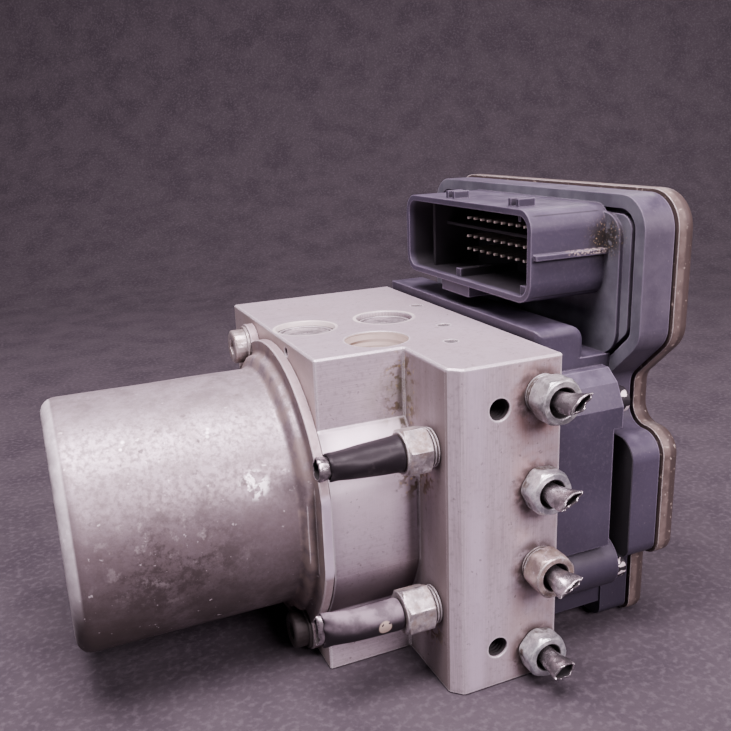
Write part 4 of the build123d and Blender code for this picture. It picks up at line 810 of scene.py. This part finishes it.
def set_nuts(finishes):
    threads = (3.3, 0.3, 2.4, 0.4)
    lengths = (7.0, 6.5, 7.0, 6.6)
    turns = (0.0, 0.1, -0.12, 0.2)
    for number in range(4):
        shape = nut_shape(threads[number], lengths[number], 4.3, 5.5, turns[number])
        place = towards_port(PORT_X, PORT_Z[number], PORT_FACE)
        piece = add_piece(shape, f"nut_{number + 1}", finishes[number], place)
        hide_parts(f"port_nut_{number + 1}")
    for number, (length, turn) in enumerate(((8.1, 0.25), (9.4, 0.1))):
        shape = nut_shape(2.5, length, 3.1, 1.2, turn, 7.5)
        place = towards_motor(INLET_Y, INLET_Z[number], STEP_FACE)
        piece = add_piece(shape, f"side_nut_{number + 1}", finishes[4 + number], place)
        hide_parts(f"inlet_nut_{number + 1}")


# Cut and crushed pipe ends

def crushed_tube(stations, steps, ragged, pinch, seed):
    """A tube through ovals (along, across, up, long radius, short radius, turn) to a ragged last ring."""
    shape = bmesh.new()
    ring = bmesh.ops.create_circle(shape, segments=steps, radius=1.0)["verts"]
    edges = list({edge for vert in ring for edge in vert.link_edges})
    for _ in stations[1:]:
        made = bmesh.ops.extrude_edge_only(shape, edges=edges)["geom"]
        raised = [item for item in made if isinstance(item, bmesh.types.BMVert)]
        edges = [item for item in made if isinstance(item, bmesh.types.BMEdge)]
        edges = [edge for edge in edges if edge.verts[0] in raised and edge.verts[1] in raised]
        bmesh.ops.translate(shape, verts=raised, vec=(0, 0, 1))
    last = len(stations) - 1
    for vert in shape.verts:
        step = round(vert.co.z)
        along, across, up, long_radius, short_radius, turn = stations[step]
        side_x = vert.co.x
        side_y = vert.co.y
        share = step / last
        power = 1 + pinch * share
        oval_x = long_radius * side_x
        oval_y = short_radius * abs(side_y) ** power * (1 if side_y > 0 else -1)
        dent = noise.noise(Vector((side_x * 1.3 + seed, side_y * 1.3, along * 0.35))) * 0.5 * share
        oval_x *= 1 + dent * 0.35
        oval_y *= 1 + dent * 0.7
        tilt = radians(turn)
        if step == last:
            along += noise.noise(Vector((side_x * 2.2, side_y * 2.2, seed))) * ragged
        vert.co = (
            across + oval_x * cos(tilt) - oval_y * sin(tilt),
            up + oval_x * sin(tilt) + oval_y * cos(tilt),
            along,
        )
    return shape


def wall(piece, thickness, inside):
    """Gives a sheet its thickness, inwards, with a near-black painted shade on the inside."""
    piece.data.materials.append(inside)
    solid = piece.modifiers.new("wall", "SOLIDIFY")
    solid.thickness = thickness * MM
    solid.offset = -1.0
    solid.use_even_offset = False
    solid.material_offset = 1
    smooth = piece.modifiers.new("smooth", "SUBSURF")
    smooth.levels = 1
    smooth.render_levels = 1


def set_pipe_ends(cut_pipe, inside):
    tips = (
        (9.5, 1.0, 2.0, 4.4, 1.5, 40.0, 8.0),
        (6.8, 0.6, 1.2, 4.3, 1.6, 35.0, 8.0),
        (9.4, 0.5, 0.4, 4.5, 1.1, 30.0, 7.0),
        (7.0, 0.3, 0.3, 4.0, 2.3, 20.0, 8.0),
    )
    for number, (out, across, up, long_radius, short_radius, turn, reach) in enumerate(tips):
        start = ((-13.4, 4.05), (-11.2, 4.0), (-10.8, 3.05), (out - 2.0, 3.0))
        stations = [(along, 0, 0, radius, radius, turn) for along, radius in start]
        for part in (0.15, 0.3, 0.45, 0.6, 0.72, 0.84, 0.93, 1.0):
            ease = part * part * (3 - 2 * part)
            stations.append(
                (
                    out - 2.0 + (reach + 2.0) * part,
                    across * part * part,
                    up * part * part,
                    3.0 + (long_radius - 3.0) * ease,
                    3.0 + (short_radius - 3.0) * ease,
                    turn,
                )
            )
        shape = crushed_tube(stations, 40, 1.1, 0.35, number * 7.3)
        place = towards_port(PORT_X, PORT_Z[number], PORT_FACE)
        piece = add_piece(shape, f"pipe_end_{number + 1}", cut_pipe, place, sharp=60)
        wall(piece, 0.75, inside)
        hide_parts(f"pipe_stub_{number + 1}")


# Sleeves and pipes of the step face

def set_sleeves(sleeve, cut_pipe, inside):
    runs = (
        (
            (10.9, 0, 0, 5.75, 5.75, 0),
            (11.6, 0, 0, 5.6, 5.6, 0),
            (12.4, 0, 0, 5.3, 5.3, 0),
            (17.0, 0, 0, 5.15, 5.15, 0),
            (22.0, 0, 0, 4.85, 4.85, 0),
            (27.0, 0, 0, 4.5, 4.5, 0),
            (31.0, 0, 0, 4.25, 4.2, 0),
            (33.0, 0, 0, 4.0, 4.0, 0),
        ),
        (
            (12.1, 0, 0, 4.95, 4.95, 0),
            (15.0, 0, 0, 4.9, 4.9, 0),
            (20.0, 0, 0, 4.8, 4.8, 0),
            (25.0, 0, 0, 4.85, 4.7, 0),
            (30.0, 0.2, 0.3, 5.1, 4.2, 0),
            (34.0, 0.5, 0.8, 5.5, 3.5, 0),
            (37.0, 0.9, 1.1, 5.9, 2.8, 0),
        ),
    )
    for number, stations in enumerate(runs):
        shape = crushed_tube(stations, 44, 0.5, 0.1, number * 5.1 + 2)
        place = towards_motor(INLET_Y, INLET_Z[number], STEP_FACE)
        piece = add_piece(shape, f"sleeve_{number + 1}", sleeve, place, sharp=60)
        wall(piece, 0.9, inside)
        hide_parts(f"inlet_sleeve_{number + 1}")
    tubes = (
        (
            (-13.4, 0, 0, 4.05, 4.05, 0),
            (-11.2, 0, 0, 4.0, 4.0, 0),
            (-10.8, 0, 0, 3.02, 3.02, 0),
            (12.0, 0, 0, 3.02, 3.02, 0),
            (31.0, 0, 0, 3.05, 3.05, 0),
            (32.6, 0, 0, 3.2, 3.2, 0),
            (34.0, 0, 0, 3.5, 3.2, 0),
            (35.2, 0, 0, 3.7, 3.0, 0),
            (36.1, 0, 0, 3.75, 2.9, 0),
        ),
        (
            (-13.4, 0, 0, 4.05, 4.05, 0),
            (-11.2, 0, 0, 4.0, 4.0, 0),
            (-10.8, 0, 0, 3.02, 3.02, 0),
            (12.0, 0, 0, 3.02, 3.02, 0),
            (25.0, 0, 0, 3.1, 3.0, 0),
            (30.0, 0.2, 0.3, 3.6, 2.6, 0),
            (34.0, 0.5, 0.8, 4.4, 2.2, 0),
            (37.0, 0.9, 1.1, 5.0, 1.8, 0),
            (38.6, 1.1, 1.3, 5.3, 1.6, 0),
        ),
    )
    for number, stations in enumerate(tubes):
        shape = crushed_tube(stations, 40, 0.5 + number * 0.6, 0.2 + number * 0.2, number * 3.7 + 9)
        place = towards_motor(INLET_Y, INLET_Z[number], STEP_FACE)
        piece = add_piece(shape, f"side_pipe_{number + 1}", cut_pipe, place, sharp=60)
        wall(piece, 0.7, inside)
        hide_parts(f"inlet_pipe_{number + 1}")


# Motor can and its screws

def set_motor_can(can):
    profile = [(0.0, 38.6), (0.0, 49.3), (0.15, 49.48), (2.7, 49.5), (2.95, 49.3), (3.0, 49.0)]
    profile += [(3.0, 46.4), (3.15, 45.5), (3.5, 44.9), (4.0, 44.62), (4.8, 44.55), (5.3, 44.3)]
    profile += [(5.8, 43.7), (6.4, 42.4), (6.9, 41.3), (7.3, 40.75), (7.8, 40.52)]
    profile += [(9.0 + 61.0 * row / 44, 40.5) for row in range(45)]
    profile += [(70 + 4.95 * sin(radians(a)), 35.55 + 4.95 * cos(radians(a))) for a in range(12, 90, 12)]
    profile += [(74.95, 35.0), (74.95, 33.0), (74.6, 32.2), (74.5, 31.0), (74.5, 12.5), (74.7, 11.6)]
    profile += [(74.95, 11.0), (74.95, 0.0)]
    shape = turned(profile, 184)
    for vert in shape.verts:
        along = vert.co.z
        flat = vert.co.xy
        if along < 8 and flat.length > 40.6:
            side = -48.0 if along < 3.02 else -42.9
            if vert.co.y < side:
                vert.co.y = side
            for ear_y, ear_z in EARS:
                away = Vector((vert.co.x - ear_z, vert.co.y - ear_y))
                if 3.02 < along < 6.4 and away.length < 7.6:
                    vert.co.xy = flat * (1 - (7.6 - away.length) / flat.length)
        elif along > 8.5 and flat.length > 34:
            wobble = noise.noise(Vector((vert.co.x, vert.co.y, along)) * 0.055) * 0.10
            wobble += noise.noise(Vector((vert.co.x, vert.co.y, along)) * 0.35) * 0.03
            vert.co.xy = flat * (1 - (0.09 + wobble) / flat.length)
    dents = ((20.4, -36.3, 20.0, 3.4, 0.42), (24.5, -37.0, 17.0, 2.4, 0.3), (-14.0, -38.0, 33.0, 4.0, 0.12))
    for vert in shape.verts:
        for up, across, along, reach, depth in dents:
            away = (vert.co - Vector((up, across, along))).length
            if away < reach:
                ease = 1 - (away / reach) ** 2
                ease *= 0.7 + 0.6 * noise.noise(vert.co * 0.9)
                vert.co.xy *= 1 - depth * ease / vert.co.xy.length
    for ear_y, ear_z in EARS:
        ear = [(0.0, 3.3), (0.0, 7.3), (0.2, 7.5), (2.7, 7.5), (3.0, 7.2), (3.0, 3.3), (0.0, 3.3)]
        merge_into(shape, turned(ear, 56), Matrix.Translation((ear_z, ear_y, 0)))
    piece = add_piece(shape, "drawn_motor_can", can, motor_frame(), sharp=34)
    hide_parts("motor_can")


def set_motor_screws(screw):
    bolts = bmesh.new()
    for ear_y, ear_z in EARS:
        bolt = [(-13.9, 0.0), (-13.9, 2.5), (-13.4, 2.98), (2.9, 2.98), (3.0, 6.6), (3.15, 6.88), (3.8, 6.9)]
        bolt += [(4.0, 6.7), (4.02, 5.95), (4.1, 6.0), (7.6, 6.0), (8.0, 5.9), (8.35, 5.5), (8.48, 5.0)]
        bolt += [(8.48, 3.35), (8.2, 3.05), (5.9, 3.0), (5.6, 0.0)]
        shape = turned(bolt, 72)
        cut_flats(shape, 5.25, 5.5, 8.3, 0.3, 3.2)
        for vert in shape.verts:
            if 4.05 < vert.co.z < 8.4 and vert.co.xy.length > 5.3:
                wave = 0.5 + 0.5 * cos(24 * vert.co.xy.angle_signed(Vector((1, 0))))
                vert.co.xy *= 1 - 0.03 * wave
        merge_into(bolts, shape, Matrix.Translation((ear_z, ear_y, 0)))
    piece = add_piece(bolts, "can_screws", screw, motor_frame(), sharp=34)
    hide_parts("motor_screws")


def motor_frame():
    """Local X is up, local Y stays, local Z points along the can, away from the block."""
    turn = Matrix(((0, 0, -1, 0), (0, 1, 0, 0), (1, 0, 0, 0), (0, 0, 0, 1)))
    return Matrix.Translation((MOTOR_FACE, MOTOR_Y, MOTOR_Z)) @ turn


def merge_into(shape, other, place):
    """Adds a copy of another shape at its place, and frees the other."""
    bmesh.ops.transform(other, matrix=place, verts=other.verts)
    mesh = bpy.data.meshes.new("part")
    other.to_mesh(mesh)
    other.free()
    shape.from_mesh(mesh)
    bpy.data.meshes.remove(mesh)


# Closing pieces of the top and underside

def closure_profile(radius, top, foot):
    """A pressed plug with a bevelled rim, a caulking groove and faint turning marks."""
    profile = [(foot, 0.0), (foot, radius - 0.02), (top - 0.5, radius - 0.02), (top - 0.35, radius - 0.2)]
    profile += [(top, radius - 0.75), (top, radius - 1.2), (top - 0.8, radius - 1.5)]
    profile += [(top - 0.85, radius - 2.0), (top - 0.3, radius - 2.35), (top - 0.1, radius - 2.7)]
    rings = 9
    for ring in range(rings):
        out = (radius - 3.0) * (1 - ring / rings)
        profile += [(top - 0.12 - 0.05 * (ring % 2), out)]
    profile += [(top - 0.12, 0.9), (top - 0.5, 0.25), (top - 0.5, 0.0)]
    return profile


def set_closures(closure, can, cap):
    plugs = bmesh.new()
    flip = Matrix.Translation((PUMP_X, MOTOR_Y, BLOCK_TOP)) @ Matrix.Rotation(pi, 4, "X")
    for place in (upwards(PUMP_X, MOTOR_Y, 0), flip):
        merge_into(plugs, turned(closure_profile(10.1, 103.4, 91.0), 96), place)
    piece = add_piece(plugs, "pump_plugs", closure, sharp=30)
    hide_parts("pump_closures")
    shape = turned(closure_profile(9.9, 103.4, 98.4), 96)
    piece = add_piece(shape, "damper_lid", closure, upwards(*DAMPER, 0), sharp=30)
    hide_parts("damper_plug")
    cup = [(94.6, 0.0), (94.6, 10.2), (99.2, 10.2), (99.45, 9.9), (99.45, 8.6), (99.0, 8.0), (98.4, 7.9)]
    cup += [(98.0, 7.7), (97.6, 7.85), (97.2, 7.5), (97.0, 6.6), (97.05, 3.0), (96.8, 1.2), (96.8, 0.0)]
    piece = add_piece(turned(cup, 96), "damper_dish", can, upwards(*CUP, 0), sharp=30)
    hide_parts("damper_cup")
    caps = bmesh.new()
    for y in STORE_Y:
        lid = [(4.0, 0.0), (4.0, 9.98), (1.3, 9.98), (1.05, 9.7), (1.0, 9.2), (1.0, 7.4), (1.25, 7.05)]
        lid += [(1.9, 6.9), (2.0, 6.6), (2.0, 1.0), (2.4, 0.3), (2.4, 0.0)]
        merge_into(caps, turned(lid, 80), upwards(STORE_X, y, 0))
    piece = add_piece(caps, "store_caps", cap, sharp=30)
    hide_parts("accumulator_caps")


def set_hole_threads(inside):
    """Thread ridges inside the two tapped holes of the port face, in the near-black painted shade."""
    pitch = 1.25
    for number, z in enumerate(HOLE_Z):
        profile = [(-16.5, 3.38)]
        for turn in range(12):
            foot = -16.0 + turn * pitch
            profile += [(foot, 3.38), (foot + 0.55, 2.95), (foot + 0.7, 2.95)]
        profile += [(-0.8, 3.38)]
        shape = turned(profile, 48)
        place = towards_port(HOLE_X, z, PORT_FACE)
        piece = add_piece(shape, f"hole_thread_{number + 1}", inside, place, sharp=30)


# Round wire springs

def wind_spring(name, x, y, foot, head, radius, wire, turns, material):
    """A helical spring with its lowest and highest turn inside foot and head."""
    shape = bmesh.new()
    ring = bmesh.ops.create_circle(
        shape,
        segments=10,
        radius=wire / 2,
        matrix=Matrix.Translation((radius, 0, wire / 2)) @ Matrix.Rotation(radians(90), 4, "X"),
    )["verts"]
    edges = list({edge for vert in ring for edge in vert.link_edges})
    steps = int(turns * 28)
    rise = (head - foot - wire) / steps
    bmesh.ops.contextual_create(shape, geom=edges)
    bmesh.ops.spin(
        shape,
        geom=list(shape.verts) + list(shape.edges) + list(shape.faces),
        cent=(0, 0, 0),
        axis=(0, 0, 1),
        dvec=(0, 0, rise),
        angle=2 * pi * turns,
        steps=steps,
        use_duplicate=False,
    )
    return add_piece(shape, name, material, upwards(x, y, foot), sharp=60)


def set_springs(wire):
    """Each with its joint, place, ends, radius, wire, the end that stays, and the share left when pressed."""
    front, back = STORE_Y
    pump = (PUMP_X, MOTOR_Y)
    brush = (BRUSH_X, MOTOR_Y)
    springs = (
        ("pump_spring_upper", "piston_upper_stroke", *pump, 77.45, 89.0, 3.2, 0.7, 89.0, 0.827),
        ("pump_spring_lower", "piston_lower_stroke", *pump, 16.0, 26.55, 3.2, 0.7, 16.0, 0.81),
        ("accumulator_spring_front", "store_front_stroke", STORE_X, front, 4.0, 23.9, 6.5, 1.2, 4.0, 0.598),
        ("accumulator_spring_back", "store_back_stroke", STORE_X, back, 4.0, 23.9, 6.5, 1.2, 4.0, 0.598),
        ("brush_spring_upper", "brush_upper_stroke", *brush, 75.05, 81.55, 1.9, 0.4, 81.55, 0.538),
        ("brush_spring_lower", "brush_lower_stroke", *brush, 22.45, 28.95, 1.9, 0.4, 22.45, 0.538),
    )
    for node, joint, x, y, foot, head, radius, thickness, fixed, keep in springs:
        piece = wind_spring(f"round_{node}", x, y, foot, head, radius, thickness, 5, wire)
        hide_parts(node)
        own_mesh(piece)


place_camera()
lay_floor()
light_studio()
finishes = dress_all()
set_nuts(finishes["nuts"])
set_pipe_ends(finishes["pipe"], finishes["black"])
set_sleeves(finishes["sleeve"], finishes["pipe"], finishes["black"])
set_motor_can(finishes["can"])
set_motor_screws(finishes["bolt"])
set_closures(finishes["closure"], finishes["can"], finishes["cap"])
set_hole_threads(finishes["black"])
set_springs(finishes["wire"])
